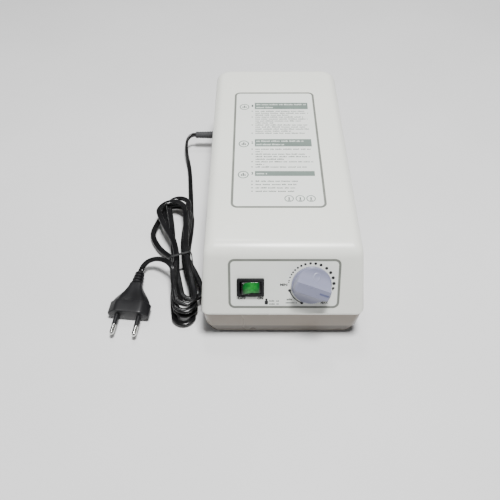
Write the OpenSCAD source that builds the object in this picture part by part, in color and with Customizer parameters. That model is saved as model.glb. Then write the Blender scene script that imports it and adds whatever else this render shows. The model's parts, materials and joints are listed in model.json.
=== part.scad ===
// Mains air pump for an alternating-pressure mattress.
// The front faces -Y, +X is to the right of it, and the table is at z = 0.
// The origin is under the middle of the pump, from the knob's edge to the tips of the outlets.

/* [Housing] */
// Length of the upper housing at its rim
body_l = 274; // [250:1:330]
// Width of the upper housing at its rim
body_w = 128; // [124:1:156]
// Height of the top above the table
body_h = 82; // [80:1:100]
// Wall thickness of both housing shells
wall = 2.4; // [2:0.1:3]
// Slope of the front panel above the table, in degrees
panel_a = 62; // [58:1:66]
// Height of the front panel's lower edge
rim_z = 33; // [31:1:36]
// Inward lean of the side walls from the rim to the top
side_lean = 4; // [2:0.5:5]
// Rounding of the top's side and back edges
edge_r = 8; // [6:0.5:10]
// Rounding of the bend between the top and the front panel
bend_r = 14.5; // [12:0.5:18]
// Plan radius of the front corners
front_corner_r = 6; // [5:0.5:9]
// Plan radius of the back corners
back_corner_r = 13; // [11:0.5:16]
// Height of the parting line above the table
seam_z = 29.5; // [28:0.5:30.5]
// How far the lower housing stands in from the rim
tray_inset = 1.2; // [1:0.1:2.5]
// Height of the rubber feet below the base
foot_h = 3; // [2:0.5:4]
// Diameter of a rubber foot
foot_d = 14; // [11:1:17]

/* [Front panel] */
// Width of the front label
front_label_w = 85; // [80:1:96]
// Height of the front label along the slope
front_label_h = 40; // [37:0.5:41]
// Height of the label's middle along the slope, from the panel's lower edge
front_label_t = 25.5; // [24:0.5:27]
// Thickness of both printed labels
label_t = 0.4; // [0.3:0.05:0.6]
// Depth of the shallow seat under each label
label_seat = 0.3; // [0.2:0.05:0.4]
// Sideways place of the rocker switch
switch_x = -25; // [-30:1:-22]
// Length of the switch bezel
bezel_w = 21; // [20:0.5:23]
// Height of the switch bezel
bezel_h = 15; // [14:0.5:16]
// Throw of the rocker between on and off, in degrees
rocker_throw = 20; // [16:1:22]
// Sideways place of the knob
knob_x = 21.5; // [19:0.5:24]
// Diameter of the knob's skirt
knob_d = 30.4; // [28:0.2:32]
// Height of the knob above the panel
knob_h = 13; // [11:0.5:15]
// Width of the finger bar across the knob
grip_w = 7.5; // [6:0.5:9]

/* [Top] */
// Width of the top label
top_label_w = 76; // [60:1:84]
// Length of the top label
top_label_l = 159; // [120:1:170]
// Sideways place of the top label's middle
top_label_x = -2.5; // [-5:0.5:5]

/* [Base] */
// Distance of the bed hooks from the middle
hook_x = 46; // [44:0.5:48]
// Length of a bed hook from its pin to its tip
hook_l = 60; // [50:1:64]
// Width of a bed hook
hook_w = 10; // [8:0.5:11]
// Length of the hook's upturned tip
hook_tip = 19; // [14:1:20]
// Diameter of the hook pin
hook_pin_d = 3; // [2.5:0.5:3.5]
// Spacing of the two air outlets
outlet_gap = 28; // [26:1:32]
// Outside diameter of an outlet
outlet_d = 9; // [8:0.5:10]
// Reach of an outlet beyond the rim
outlet_reach = 15; // [12:1:18]
// Height of the outlets and of the mains cord above the table
port_z = 17; // [16:0.5:18]

/* [Works] */
// Outside diameter of the air hoses
hose_d = 7; // [6:0.5:7.5]
// Bore of the air hoses
hose_bore = 4.2; // [3.5:0.1:4.5]
// Thickness of the pump's laminated core
core_t = 20; // [16:1:22]
// Diameter of a valve chamber
chamber_d = 34; // [30:1:36]
// Diameter of the timer motor
motor_d = 49; // [45:1:50]
// Height of the timer motor
motor_h = 20; // [18:1:22]
// Diameter of the pump's pivot pins
pivot_d = 3; // [2.5:0.5:3.5]
// Clearance on the radius between a shaft and its hole
run_gap = 0.05; // [0.02:0.01:0.09]

/* [Mains cord] */
// Thickness of the flat cord
cord_t = 3.2; // [3:0.1:3.4]
// Width of the flat cord
cord_w = 5.2; // [5:0.1:5.4]
// Rise from each loop of the hank to the one lying on it
hank_rise = 3.95; // [3.95:0.05:4.2]
// Width of the plug's face
plug_w = 35.3; // [35:0.1:36]
// Thickness of the plug's body
plug_t = 13.7; // [13:0.1:14]

/* [Hidden] */
$fn = 48;

// Cord route to the hank, from the end of the strain relief, lying on the table
cord_route = [[-2.5, 0, 17], [-5.5, -1, 16.4], [-8, -3.5, 15.2], [-9.5, -7, 13.6],
    [-10, -11.5, 11.5], [-9.8, -16.5, 9.2], [-9, -22, 7], [-7.7, -28, 5.2], [-6.3, -34.5, 3.9],
    [-5, -41.5, 2.9], [-4, -49, 2.3], [-3.1, -57, 2.1], [-2.3, -65, 2], [-1.5, -73.4, 1.9],
    [-0.7, -81.4, 1.85], [0, -89.4, 1.8], [0.7, -97.3, 1.75]];
// Tail route from the hank round to the plug, measured from the same point
tail_route = [[-7.1, -189.4, 20.2], [-9.7, -185.3, 20.4], [-13.4, -181.8, 19.8],
    [-17.9, -178.6, 18.2], [-22.6, -176.2, 16], [-27.5, -175.1, 13.4], [-31.8, -175.5, 10.9],
    [-35.2, -178.1, 8.7]];

// The knob's place, and how far the low corner of its finger bar reaches before the front rim
knob_t = front_label_t - 0.3;
label_top = label_t - label_seat;
knob_lift = 0.8 + label_top;
pointer_a = -20;
bar_low = (knob_d / 2 - 2.6) * sin(-pointer_a) + grip_w / 2 * cos(pointer_a);
knob_front = tenths((knob_h + knob_lift) * sin(panel_a) + (bar_low - knob_t) * cos(panel_a));

// Body frame: y of the front rim and of the back rim
front_y = -(body_l + outlet_reach + knob_front) / 2 + knob_front;
back_y = front_y + body_l;
half_w = body_w / 2;
bend_y = front_y + (body_h - rim_z) / tan(panel_a);
bend_c = bend_y + bend_r * tan(panel_a / 2);
base_z = foot_h;
floor_z = base_z + wall;
tray_half = half_w - tray_inset;
tray_front = front_y + tray_inset;
tray_back = back_y - tray_inset;

// The lower housing's sides slope in a little to its facet, and more below it
facet_z = base_z + 9.5;
upper_draw = 1;
lower_draw = 1.6;
function tray_in(z) = upper_draw * min(1, max(0, seam_z - z) / (seam_z - facet_z))
    + lower_draw * max(0, facet_z - z) / (facet_z - base_z);

// Where the collars of the air and cord outlets meet the sloping wall
port_inset = tenths(tray_inset + tray_in(port_z + 6));
port_half = half_w - port_inset;
port_back = back_y - port_inset;
port_slope = 0.5;
relief_l = 23.6;
cord_exit = [-port_half - relief_l, back_y - 28.2, 0];
hose_r = hose_d / 2;
barb_r = hose_bore / 2 - run_gap;

// Plain helpers
function tenths(x) = round(x * 10) / 10;
function arc(c, r, a0, a1, n) =
    [for (i = [0:n]) let (a = a0 + (a1 - a0) * i / n) [c[0] + r * cos(a), c[1] + r * sin(a)]];
function plan(x, y0, y1, rf, rb, n = 8) = concat(
    arc([x - rf, y0 + rf], rf, -90, 0, n), arc([x - rb, y1 - rb], rb, 0, 90, n),
    arc([rb - x, y1 - rb], rb, 90, 180, n), arc([rf - x, y0 + rf], rf, 180, 270, n));
function cross3(a, b) = [a[1] * b[2] - a[2] * b[1], a[2] * b[0] - a[0] * b[2],
    a[0] * b[1] - a[1] * b[0]];
function unit(v) = v / norm(v);
function front(x, y, z) = [x, front_y + y, z];
function pump(x, y, z) = [x, pump_y + y, z];
function back(x, y, z) = [x, back_y + y, z];

// A closed solid through outlines of equal length, each at its own height
module stack(rings, heights) {
    n = len(rings[0]);
    last = len(rings) - 1;
    points = [for (k = [0:last]) for (p = rings[k]) [p[0], p[1], heights[k]]];
    sides = [for (k = [0:last - 1]) for (i = [0:n - 1]) let (j = (i + 1) % n, a = k * n)
        each [[a + i, a + n + i, a + n + j], [a + i, a + n + j, a + j]]];
    polyhedron(points, concat(sides, [[for (i = [0:n - 1]) i]],
        [[for (i = [n - 1:-1:0]) last * n + i]]));
}

// A tube of oval section along points, w wide across the table and h high, turned by twist
module sweep(path, w, h, sides = 8, twist = [0, 0]) {
    last = len(path) - 1;
    frames = [for (i = [0:last]) let (
        t = unit(path[min(i + 1, last)] - path[max(i - 1, 0)]),
        s = unit(cross3(t, [0, 0, 1]))) [s, cross3(s, t)]];
    points = [for (i = [0:last]) let (q = twist[0] + (twist[1] - twist[0]) * i / last)
        for (k = [0:sides - 1]) let (a = 360 * (k + 0.5) / sides,
            u = w / 2 * cos(a), v = h / 2 * sin(a))
        path[i] + frames[i][0] * (u * cos(q) - v * sin(q))
            + frames[i][1] * (u * sin(q) + v * cos(q))];
    faces = [for (i = [0:last - 1]) for (k = [0:sides - 1])
        let (m = (k + 1) % sides, a = i * sides)
        each [[a + k, a + sides + k, a + sides + m], [a + k, a + sides + m, a + m]]];
    polyhedron(points, concat(faces, [[for (k = [0:sides - 1]) k]],
        [[for (k = [sides - 1:-1:0]) last * sides + k]]));
}

module rounded(w, l, r) {
    square([w - 2 * r, l], center = true);
    square([w, l - 2 * r], center = true);
    for (x = [-1, 1], y = [-1, 1])
        translate([x * (w / 2 - r), y * (l / 2 - r)]) circle(r);
}

module ring(r_out, r_in, h) {
    difference() {
        cylinder(r = r_out, h = h);
        translate([0, 0, -1]) cylinder(r = r_in, h = h + 2);
    }
}

// The panel's own frame: X across, Y up the slope, Z out of the panel
module on_panel(x = 0, t = 0, n = 0)
    translate([0, front_y, rim_z]) rotate([panel_a, 0, 0]) translate([x, t, n]) children();

// Upper housing

// Outline of the upper housing at height z, drawn in by e all round
function cover_plan(z, e) = let (
    lean = side_lean * max(0, z - rim_z) / (body_h - rim_z),
    up = max(0, z - (body_h - edge_r)),
    re = edge_r - e,
    round_in = up > 0 ? re - sqrt(max(0, re * re - up * up)) : 0,
    lip = e > 0 ? 0 : 1.2 * pow(max(0, rim_z - z) / (rim_z - seam_z), 2),
    x = half_w - lean - e - round_in - lip,
    bend_up = z - (body_h - bend_r),
    rb = bend_r - e,
    on_bend = bend_up > rb * cos(panel_a),
    slope_y = front_y + max(0, z - rim_z) / tan(panel_a) + e / sin(panel_a),
    y0 = (on_bend ? bend_c - sqrt(max(0, rb * rb - bend_up * bend_up)) : slope_y) + lip,
    y1 = back_y - lean / 2 - e - round_in - lip,
    rf = max(1.5, front_corner_r - e - round_in / 2),
    rk = max(1.5, back_corner_r - e - round_in))
    plan(x, y0, y1, rf, rk);

function cover_heights(e) = concat(
    [rim_z, (rim_z + body_h - edge_r) / 2],
    [for (i = [0:7]) body_h - edge_r + (edge_r - e) * sin(i * 90 / 7)]);

module cover_solid(e, low) {
    heights = concat(low, cover_heights(e));
    stack([for (z = heights) cover_plan(z, e)], heights);
}

boss_x = half_w - 12;
boss_front = front_y + 27;
boss_back = back_y - 17;
boss_r = 4;
pilot_r = 1.45;
lip_h = 3;

module at_bosses()
    for (x = [-boss_x, boss_x], y = [boss_front, boss_back]) translate([x, y, 0]) children();

// Hole through the panel for the regulator, and the cut for the switch
bushing_r = 3.5;
switch_case_w = bezel_w - 2.2;
switch_case_h = bezel_h - 2.2;
switch_t = front_label_t - 2.7;

module upper_housing() color([0.87, 0.88, 0.84]) {
    difference() {
        union() {
            difference() {
                cover_solid(0, [seam_z, seam_z + 1.2, seam_z + 2.4]);
                cover_solid(wall, [seam_z - 1]);
            }
            intersection() {
                at_bosses() translate([0, 0, seam_z]) cylinder(r = boss_r, h = body_h);
                cover_solid(wall / 2, [seam_z]);
            }
        }
        at_bosses() translate([0, 0, seam_z - 1]) cylinder(r = pilot_r, h = 16);
        on_panel(1, front_label_t, -label_seat)
            linear_extrude(5) rounded(front_label_w + 0.4, front_label_h + 0.4, 4);
        on_panel(switch_x, switch_t, -10)
            translate([-switch_case_w / 2 - 0.1, -switch_case_h / 2 - 0.1, 0])
            cube([switch_case_w + 0.2, switch_case_h + 0.2, 20]);
        on_panel(knob_x, knob_t, -12) cylinder(r = bushing_r + 0.1, h = 20);
        translate([top_label_x, top_label_y, body_h - label_seat])
            linear_extrude(5) rounded(top_label_w + 0.4, top_label_l + 0.4, 5);
    }
}

// Lower housing

// Outline of the lower housing at height z, drawn in by e
function tray_plan(z, e) = let (
    inset = tray_in(z),
    x = tray_half - e - inset,
    rf = max(2, 5 + 1.8 * inset - e),
    rb = max(2, back_corner_r + 1 - e))
    plan(x, tray_front + e + inset, tray_back - e - inset, rf, rb);

module tray_solid(e, heights) stack([for (z = heights) tray_plan(z, e)], heights);

// The lower housing's tongue stands just inside the upper housing's wall
tongue_in = wall - tray_inset + 0.3;
hook_y = back_y - 33;
channel_w = hook_w + 2;
channel_top = base_z + 7;
well_l = 12;
well_y = hook_y - hook_l - 4;
well_top = base_z + hook_tip + 4.7;

// Space for the folded hooks, or with grow the walls round it
module hook_pocket(grow)
    for (x = [-hook_x, hook_x])
        translate([x - channel_w / 2 - grow, well_y - grow, base_z - 1]) {
            cube([channel_w + 2 * grow, hook_y + 6 - well_y + 2 * grow,
                channel_top - base_z + 1 + grow]);
            cube([channel_w + 2 * grow, well_l + 2 * grow, well_top - base_z + 1 + grow]);
        }

module lower_housing() color([0.85, 0.85, 0.81]) {
    tall = [base_z, facet_z, seam_z];
    difference() {
        union() {
            difference() {
                tray_solid(0, tall);
                tray_solid(wall, [floor_z, facet_z, seam_z, seam_z + 1]);
            }
            difference() {
                tray_solid(tongue_in, [seam_z - 4, seam_z + lip_h]);
                tray_solid(tongue_in + 1.3, [seam_z - 5, seam_z + lip_h + 1]);
            }
            intersection() {
                hook_pocket(2);
                tray_solid(0.5, tall);
            }
            at_bosses() translate([0, 0, base_z]) cylinder(r = 5, h = seam_z - base_z);
            for (x = [-1, 1] * mount_x, y = [-1, 1])
                translate([x, pump_y + y * mount_y, base_z]) cylinder(r = 3, h = wall + 4);
            for (x = [-1, 1] * motor_post_x)
                translate([x, motor_y, base_z]) cylinder(r = 4, h = motor_z - base_z);
        }
        hook_pocket(0);
        for (x = [-hook_x, hook_x])
            translate([x, hook_y, pin_z]) rotate([0, 90, 0])
                cylinder(d = hook_pin_d, h = channel_w + 2.4, center = true);
        at_bosses() {
            translate([0, 0, base_z - 1]) cylinder(r = 3.4, h = 13);
            cylinder(r = 1.7, h = seam_z + 5);
        }
        at_feet() translate([0, 0, base_z - 1]) cylinder(d = foot_d + 0.4, h = 1.6);
        for (x = [-outlet_gap / 2, outlet_gap / 2])
            translate([x, tray_back - 8, port_z]) rotate([-90, 0, 0])
                cylinder(d = outlet_d + 0.2, h = 14);
        translate([-tray_half - 3, cord_exit[1], port_z]) rotate([0, 90, 0])
            cylinder(r = relief_neck + 0.1, h = 10);
        for (x = [-1, 1] * motor_post_x)
            translate([x, motor_y, floor_z]) cylinder(r = 1.2, h = motor_z);
    }
}

foot_x = half_w - 24;
module at_feet()
    for (x = [-foot_x, foot_x], y = [front_y + 30, back_y - 16]) translate([x, y, 0]) children();

module rubber_feet() color([0.25, 0.25, 0.26])
    at_feet() {
        cylinder(d1 = foot_d - 1.5, d2 = foot_d, h = foot_h / 2);
        translate([0, 0, foot_h / 2]) cylinder(d = foot_d, h = foot_h / 2 + 0.6);
    }

module housing_screws() color([0.7, 0.7, 0.72])
    at_bosses() translate([0, 0, base_z + 12]) {
        difference() {
            translate([0, 0, -2.2]) cylinder(r = 2.9, h = 2.2);
            for (a = [0, 90]) rotate([0, 0, a])
                translate([-1.8, -0.4, -2.3]) cube([3.6, 0.8, 1.2]);
        }
        cylinder(r = pilot_r, h = 25);
    }

// Labels
top_label_y = (bend_c + back_y) / 2 - 7.1;

module top_label() color([0.86, 0.88, 0.84])
    translate([top_label_x, top_label_y, body_h - label_seat])
        linear_extrude(label_t) rounded(top_label_w, top_label_l, 4.8);

module front_label() color([0.86, 0.88, 0.84])
    difference() {
        on_panel(1, front_label_t, -label_seat)
            linear_extrude(label_t) rounded(front_label_w, front_label_h, 3.8);
        on_panel(switch_x, switch_t, -1)
            translate([-switch_case_w / 2 - 0.1, -switch_case_h / 2 - 0.1, 0])
            cube([switch_case_w + 0.2, switch_case_h + 0.2, 3]);
        on_panel(knob_x, knob_t, -1) cylinder(r = bushing_r + 0.4, h = 3);
    }

// Rocker switch
case_deep = 15;
opening_w = bezel_w - 4.2;
opening_h = bezel_h - 4.4;
rocker_r = opening_w / 2 - 0.25;
trunnion_r = 1.2;
bezel_t = 1.8;

module at_switch() on_panel(switch_x, switch_t, label_top) children();

module switch_body() color([0.07, 0.07, 0.08])
    at_switch() difference() {
        union() {
            linear_extrude(bezel_t) rounded(bezel_w, bezel_h, 1);
            translate([-switch_case_w / 2, -switch_case_h / 2, -case_deep])
                cube([switch_case_w, switch_case_h, case_deep]);
            // Snap arms that spring behind the panel
            translate([-3, -switch_case_h / 2 - 0.6, -wall - label_top - 5])
                cube([6, switch_case_h + 1.2, 4.6]);
        }
        translate([-opening_w / 2, -opening_h / 2, -9.6]) cube([opening_w, opening_h, 20]);
        rotate([90, 0, 0]) cylinder(r = trunnion_r + run_gap, h = opening_h + 1.6, center = true);
    }

module switch_terminals() color([0.8, 0.7, 0.4])
    at_switch() for (x = [-6, 0, 6])
        translate([x - 0.4, -2.4, -case_deep - 8]) cube([0.8, 4.8, 8]);

// The rocker as seen from its end: a drum cut by two shallow faces, turned to on
module switch_rocker() color([0.1, 0.65, 0.2])
    at_switch() rotate([90, 0, 0]) rotate([0, 0, -rocker_throw / 2]) {
        linear_extrude(opening_h - 0.6, center = true)
            intersection() {
                circle(rocker_r, $fn = 96);
                polygon([[-rocker_r, -3], [rocker_r, -3],
                    [rocker_r, 1.9 + rocker_r * tan(rocker_throw / 2)], [0, 1.9],
                    [-rocker_r, 1.9 + rocker_r * tan(rocker_throw / 2)]]);
            }
        cylinder(r = trunnion_r, h = opening_h + 1, center = true);
    }

// Pressure knob and regulator
skirt_h = 2.6;
stem_r = 2.5;
screw_r = 1.5;
hub_deep = 4;

module at_knob(n = 0) on_panel(knob_x, knob_t, n) children();

module knob_scoop(side)
    translate([0, side * (grip_w / 2 + 12), knob_h + 1.6])
        rotate([0, 90, 0]) cylinder(r = 12, h = knob_d + 4, center = true, $fn = 96);

module pressure_knob() color([0.62, 0.63, 0.72])
    at_knob(knob_lift) rotate([0, 0, pointer_a]) difference() {
        union() {
            rotate_extrude($fn = 96) polygon(concat([[0, 0], [knob_d / 2 - 0.3, 0],
                [knob_d / 2, 0.4]], arc([knob_d / 2 - 0.7, skirt_h - 0.7], 0.7, 0, 90, 4),
                [[0, skirt_h]]));
            difference() {
                rotate_extrude($fn = 96) polygon(concat([[0, 1], [knob_d / 2 - 0.9, 1]],
                    arc([knob_d / 2 - 2.6, knob_h - 1.5], 1.5, 0, 90, 5), [[0, knob_h]]));
                for (side = [-1, 1]) knob_scoop(side);
            }
        }
        translate([0, 0, -1]) cylinder(r = 7.2, h = 4);
        cylinder(r = stem_r + 0.02, h = 3 + 7);
        translate([knob_d / 2 - 10, -0.5, knob_h - 0.6]) cube([12, 1, 2]);
    }

module regulator_stem() color([0.75, 0.7, 0.5])
    at_knob() {
        translate([0, 0, -9]) cylinder(r = stem_r, h = 9 + knob_lift + 10);
        translate([0, 0, -18]) cylinder(r = screw_r, h = 9);
    }

regulator_deep = 27;
carriage_w = 7;

module regulator_body() color([0.3, 0.3, 0.32])
    at_knob() difference() {
        union() {
            translate([0, 0, -wall - 3]) cylinder(r = bushing_r, h = wall + 3 + 3.4);
            translate([0, 0, -regulator_deep]) cylinder(r = 7, h = regulator_deep - wall - 0.1);
            translate([0, 0, -wall - 3]) cylinder(r = 8.5, h = 2.9);
            translate([-13, 0, -port_n]) rotate([0, 90, 0]) cylinder(r = barb_r, h = 8);
        }
        translate([0, 0, -10]) cylinder(r = stem_r + run_gap, h = 20);
        translate([-carriage_w / 2 - 0.15, -carriage_w / 2 - 0.15, -20.6])
            cube([carriage_w + 0.3, carriage_w + 0.3, 11.4]);
        translate([0, 0, -22.4]) cylinder(r = 2.1, h = 5);
        translate([0, 0, -25]) cylinder(r = 1.1, h = 5);
        translate([-16, 0, -port_n]) rotate([0, 90, 0]) cylinder(r = 1, h = 16);
    }

port_n = 24;

module regulator_nut() color([0.75, 0.75, 0.76])
    at_knob(label_top) difference() {
        cylinder(r = 5.7, h = 2, $fn = 6);
        translate([0, 0, -1]) cylinder(r = bushing_r, h = 4);
    }

module regulator_carriage() color([0.9, 0.9, 0.88])
    at_knob(-15.5) difference() {
        translate([-carriage_w / 2, -carriage_w / 2, 0]) cube([carriage_w, carriage_w, 3]);
        translate([0, 0, -1]) cylinder(r = screw_r + run_gap, h = 5);
    }

module regulator_ball() color([0.7, 0.7, 0.72])
    at_knob(-21.2) sphere(r = 1.6);

module regulator_spring() color([0.6, 0.6, 0.62])
    at_knob(-19.4) for (i = [0:3]) translate([0, 0, 0.4 + i * 0.95])
        rotate_extrude() translate([2.3, 0]) circle(0.35, $fn = 16);

// Bed hooks
pin_z = base_z + 3.6;
hook_t = 4.6;

// Hook profile in the Y-Z plane, with the pin at its origin
module hook_profile() {
    difference() {
        union() {
            circle(3);
            translate([-hook_l + 1.5, -2.3]) square([hook_l - 1.5, hook_t]);
            translate([-hook_l, -0.8]) square([5, hook_tip - 1]);
            translate([-hook_l + 1.5, -0.8]) circle(1.5);
            translate([-hook_l + 2.5, hook_tip - 1.8]) circle(2.5);
        }
        circle(d = hook_pin_d + 2 * run_gap);
    }
}

module bed_hook(x) color([0.85, 0.85, 0.81])
    translate([x, hook_y, pin_z]) rotate([90, 0, 90]) translate([0, 0, -hook_w / 2])
        linear_extrude(hook_w) hook_profile();

module hook_pins() color([0.75, 0.75, 0.77])
    for (x = [-hook_x, hook_x]) translate([x, hook_y, pin_z]) rotate([0, 90, 0])
        cylinder(d = hook_pin_d, h = channel_w + 2.4, center = true);

// Air outlets
outlet_collar = 1.4;

module outlet_nozzle(x) color([0.88, 0.88, 0.86])
    translate([x, port_back, port_z]) rotate([-90, 0, 0]) {
        tip = outlet_reach + port_inset;
        difference() {
            union() {
                translate([0, 0, -wall - 1 - port_slope])
                    cylinder(d = outlet_d, h = tip + wall - 7 + port_slope);
                cylinder(d = outlet_d + 3, h = outlet_collar);
                translate([0, 0, tip - 8.5]) cylinder(d = outlet_d - 1.4, h = 8.5);
                for (z = [7.5, 4.8, 2]) translate([0, 0, tip - z])
                    cylinder(d1 = outlet_d - 0.2, d2 = outlet_d - 1.2, h = 2);
                translate([0, 0, -wall - 2.4 - port_slope]) cylinder(d = outlet_d + 4, h = 2);
                translate([0, 0, -wall - 10]) cylinder(r = barb_r, h = 8);
            }
            translate([0, 0, -wall - 11]) cylinder(r = 1.2, h = tip + wall + 12);
            translate([0, 0, -1]) cylinder(r = 2.4, h = tip + 2);
        }
    }

// Air pump: frame, magnet core and coil, swing arms, diaphragms and chambers
pump_y = (front_y + back_y) / 2 - 30;
mount_x = 44;
mount_y = 50;
frame_z = base_z + 11;
frame_t = 3;
axis_z = frame_z + frame_t + 21;
core_w = 48;
leg_w = 8;
mid_leg_w = 12;
yoke_y = pump_y - 48;
leg_l = 30;
leg_end = yoke_y + 10 + leg_l;
arm_x = 11;
pivot_y = pump_y + 50;
magnet_gap = 1.6;
magnet_t = 6;
drive_y = pump_y + 22;
arm_t = 4;
chamber_in = 25;

module pump_frame() color([0.2, 0.2, 0.22]) {
    difference() {
        union() {
            translate([0, pump_y, frame_z])
                linear_extrude(frame_t) rounded(2 * mount_x + 14, 2 * mount_y + 14, 6);
            for (x = [-1, 1] * (core_w / 2 - leg_w / 2))
                translate([x - leg_w / 2, yoke_y + 2, frame_z])
                    cube([leg_w, leg_l, axis_z - core_t / 2 - frame_z]);
            for (x = [-arm_x, arm_x]) translate([x, pivot_y, frame_z])
                cylinder(r = 4.5, h = axis_z - 9 - frame_z);
            for (s = [-1, 1]) translate([s > 0 ? chamber_in + 2 : -chamber_in - 18,
                drive_y - 9, frame_z]) cube([16, 18, axis_z - chamber_d / 2 - frame_z + 2]);
        }
        for (x = [-1, 1] * mount_x, y = [-1, 1])
            translate([x, pump_y + y * mount_y, frame_z - 1]) cylinder(r = 4.05, h = 6);
        translate([-17, yoke_y + 10, frame_z - 1]) cube([34, leg_l + 2, 6]);
        for (x = [-arm_x, arm_x]) translate([x, pivot_y, frame_z - 1])
            cylinder(d = pivot_d, h = 40);
        for (s = [-1, 1]) translate([s * chamber_in, drive_y, axis_z])
            rotate([0, s * 90, 0]) cylinder(d = chamber_d + 0.1, h = 24);
    }
}

module pump_mounts() color([0.15, 0.15, 0.16])
    for (x = [-1, 1] * mount_x, y = [-1, 1])
        translate([x, pump_y + y * mount_y, floor_z]) difference() {
            union() {
                cylinder(r = 6.5, h = frame_z - floor_z);
                cylinder(r = 4, h = frame_z - floor_z + frame_t);
                translate([0, 0, frame_z - floor_z + frame_t]) cylinder(r = 5.5, h = 2);
            }
            translate([0, 0, -1]) cylinder(r = 3, h = 5);
        }

module pump_core() color([0.45, 0.45, 0.47])
    translate([0, 0, axis_z - core_t / 2]) linear_extrude(core_t) {
        translate([-core_w / 2, yoke_y]) square([core_w, 10.01]);
        for (x = [-1, 1] * (core_w / 2 - leg_w / 2))
            translate([x - leg_w / 2, yoke_y + 10]) square([leg_w, leg_l]);
        translate([-mid_leg_w / 2, yoke_y + 10]) square([mid_leg_w, leg_l]);
    }

bobbin_l = leg_l - 2;
bobbin_w = core_w - 2 * leg_w - 0.8;

module coil_bobbin() color([0.85, 0.8, 0.7])
    translate([0, yoke_y + 10.6, axis_z]) rotate([-90, 0, 0]) difference() {
        union() {
            translate([-mid_leg_w / 2 - 1.4, -core_t / 2 - 1.4, 0])
                cube([mid_leg_w + 2.8, core_t + 2.8, bobbin_l]);
            for (y = [0, bobbin_l - 1.6]) translate([0, 0, y])
                linear_extrude(1.6) square([bobbin_w, core_t + 18], center = true);
        }
        translate([-mid_leg_w / 2, -core_t / 2, -1])
            cube([mid_leg_w, core_t, bobbin_l + 2]);
    }

module coil_winding() color([0.72, 0.4, 0.2])
    translate([0, yoke_y + 12.2, axis_z]) rotate([-90, 0, 0]) difference() {
        linear_extrude(bobbin_l - 3.2) rounded(bobbin_w - 1, core_t + 16, 4);
        translate([-mid_leg_w / 2 - 1.4, -core_t / 2 - 1.4, -1])
            cube([mid_leg_w + 2.8, core_t + 2.8, bobbin_l + 2]);
    }

module pump_arm(s) color([0.88, 0.88, 0.86])
    translate([s * arm_x, pivot_y, axis_z]) difference() {
        union() {
            translate([-arm_t / 2, -(pivot_y - leg_end) + magnet_gap + magnet_t + 0.02, -8])
                cube([arm_t, pivot_y - leg_end - magnet_gap - magnet_t, 16]);
            translate([0, 0, -8]) cylinder(r = 4, h = 16);
            translate([s * (arm_t / 2 - 0.01), drive_y - pivot_y, 0]) rotate([0, s * 90, 0])
                cylinder(r = 4, h = chamber_in - 5.4 - arm_x - arm_t / 2);
        }
        translate([0, 0, -9]) cylinder(d = pivot_d + 2 * run_gap, h = 18);
    }

module arm_magnet(s) color([0.35, 0.35, 0.37])
    translate([s * arm_x - 6, leg_end + magnet_gap, axis_z - 9]) cube([12, magnet_t, 18]);

module arm_pivot_pins() color([0.75, 0.75, 0.77])
    for (x = [-arm_x, arm_x]) translate([x, pivot_y, frame_z]) {
        cylinder(d = pivot_d, h = axis_z + 9.6 - frame_z);
        translate([0, 0, axis_z + 8.3 - frame_z]) cylinder(d = pivot_d + 2, h = 1.2);
    }

module diaphragms() color([0.2, 0.2, 0.21])
    for (s = [-1, 1]) translate([s * chamber_in, drive_y, axis_z]) rotate([0, -s * 90, 0])
        rotate_extrude() polygon([[0, 3.6], [5, 3.6], [6, 2.6], [10.5, 2.6], [11.5, 0],
            [chamber_d / 2, 0], [chamber_d / 2, 1.8], [12.6, 1.8], [11.4, 4.2], [6.4, 4.2],
            [5.4, 5.2], [0, 5.2]]);

module valve_chamber(s) color([0.85, 0.85, 0.83])
    translate([s * chamber_in, drive_y, axis_z]) {
        difference() {
            union() {
                rotate([0, s * 90, 0]) cylinder(d = chamber_d, h = 20);
                translate([s * 10, 0, 0]) cylinder(r = 4.5, h = chamber_d / 2 + 0.6);
                translate([s * 10, 0, 0]) cylinder(r = barb_r, h = hose_z - bend - 0.5 - axis_z);
            }
            translate([-s * 0.01, 0, 0]) rotate([0, s * 90, 0]) cylinder(r = 11, h = 6);
            for (y = [-6, 6]) translate([s * 5, y, 0])
                rotate([0, s * 90, 0]) cylinder(r = 1.2, h = 6);
            translate([s * 10.5, 0, 0]) rotate([0, s * 90, 0]) cylinder(r = 12, h = 6.5);
            translate([s * 10, 0, 0]) cylinder(r = 1, h = 40);
        }
    }

module flap_valves() color([0.3, 0.3, 0.31])
    for (s = [-1, 1], y = [-6, 6])
        translate([s * (chamber_in + 10.5), drive_y + y, axis_z]) rotate([0, s * 90, 0])
            cylinder(r = 3.2, h = 0.8);

// Alternating valve: timer motor below, rotor disc and port plate above
motor_y = back_y - 51;
motor_z = base_z + 11;
motor_post_x = motor_d / 2 + 5.5;
bracket_z = motor_z + motor_h;
rotor_z = bracket_z + 8;
rotor_r = 17;
plate_z = rotor_z + 4.3;
outlet_port = outlet_gap / 2;

module timer_motor() color([0.7, 0.7, 0.72])
    translate([0, motor_y, motor_z]) difference() {
        union() {
            cylinder(d = motor_d, h = motor_h);
            for (x = [-1, 1] * motor_post_x) translate([x, 0, 0]) cylinder(r = 4.4, h = 1);
            translate([-motor_post_x, -4, 0]) cube([2 * motor_post_x, 8, 1]);
        }
        translate([0, 0, motor_h - 6]) cylinder(r = 2 + run_gap, h = 10);
        for (x = [-1, 1] * motor_post_x) translate([x, 0, -1]) cylinder(r = 1.6, h = 4);
    }

module motor_screws() color([0.7, 0.7, 0.72])
    for (x = [-1, 1] * motor_post_x) translate([x, motor_y, motor_z + 1]) {
        cylinder(r = 2.6, h = 1.8);
        translate([0, 0, -8]) cylinder(r = 1.2, h = 8);
    }

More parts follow.
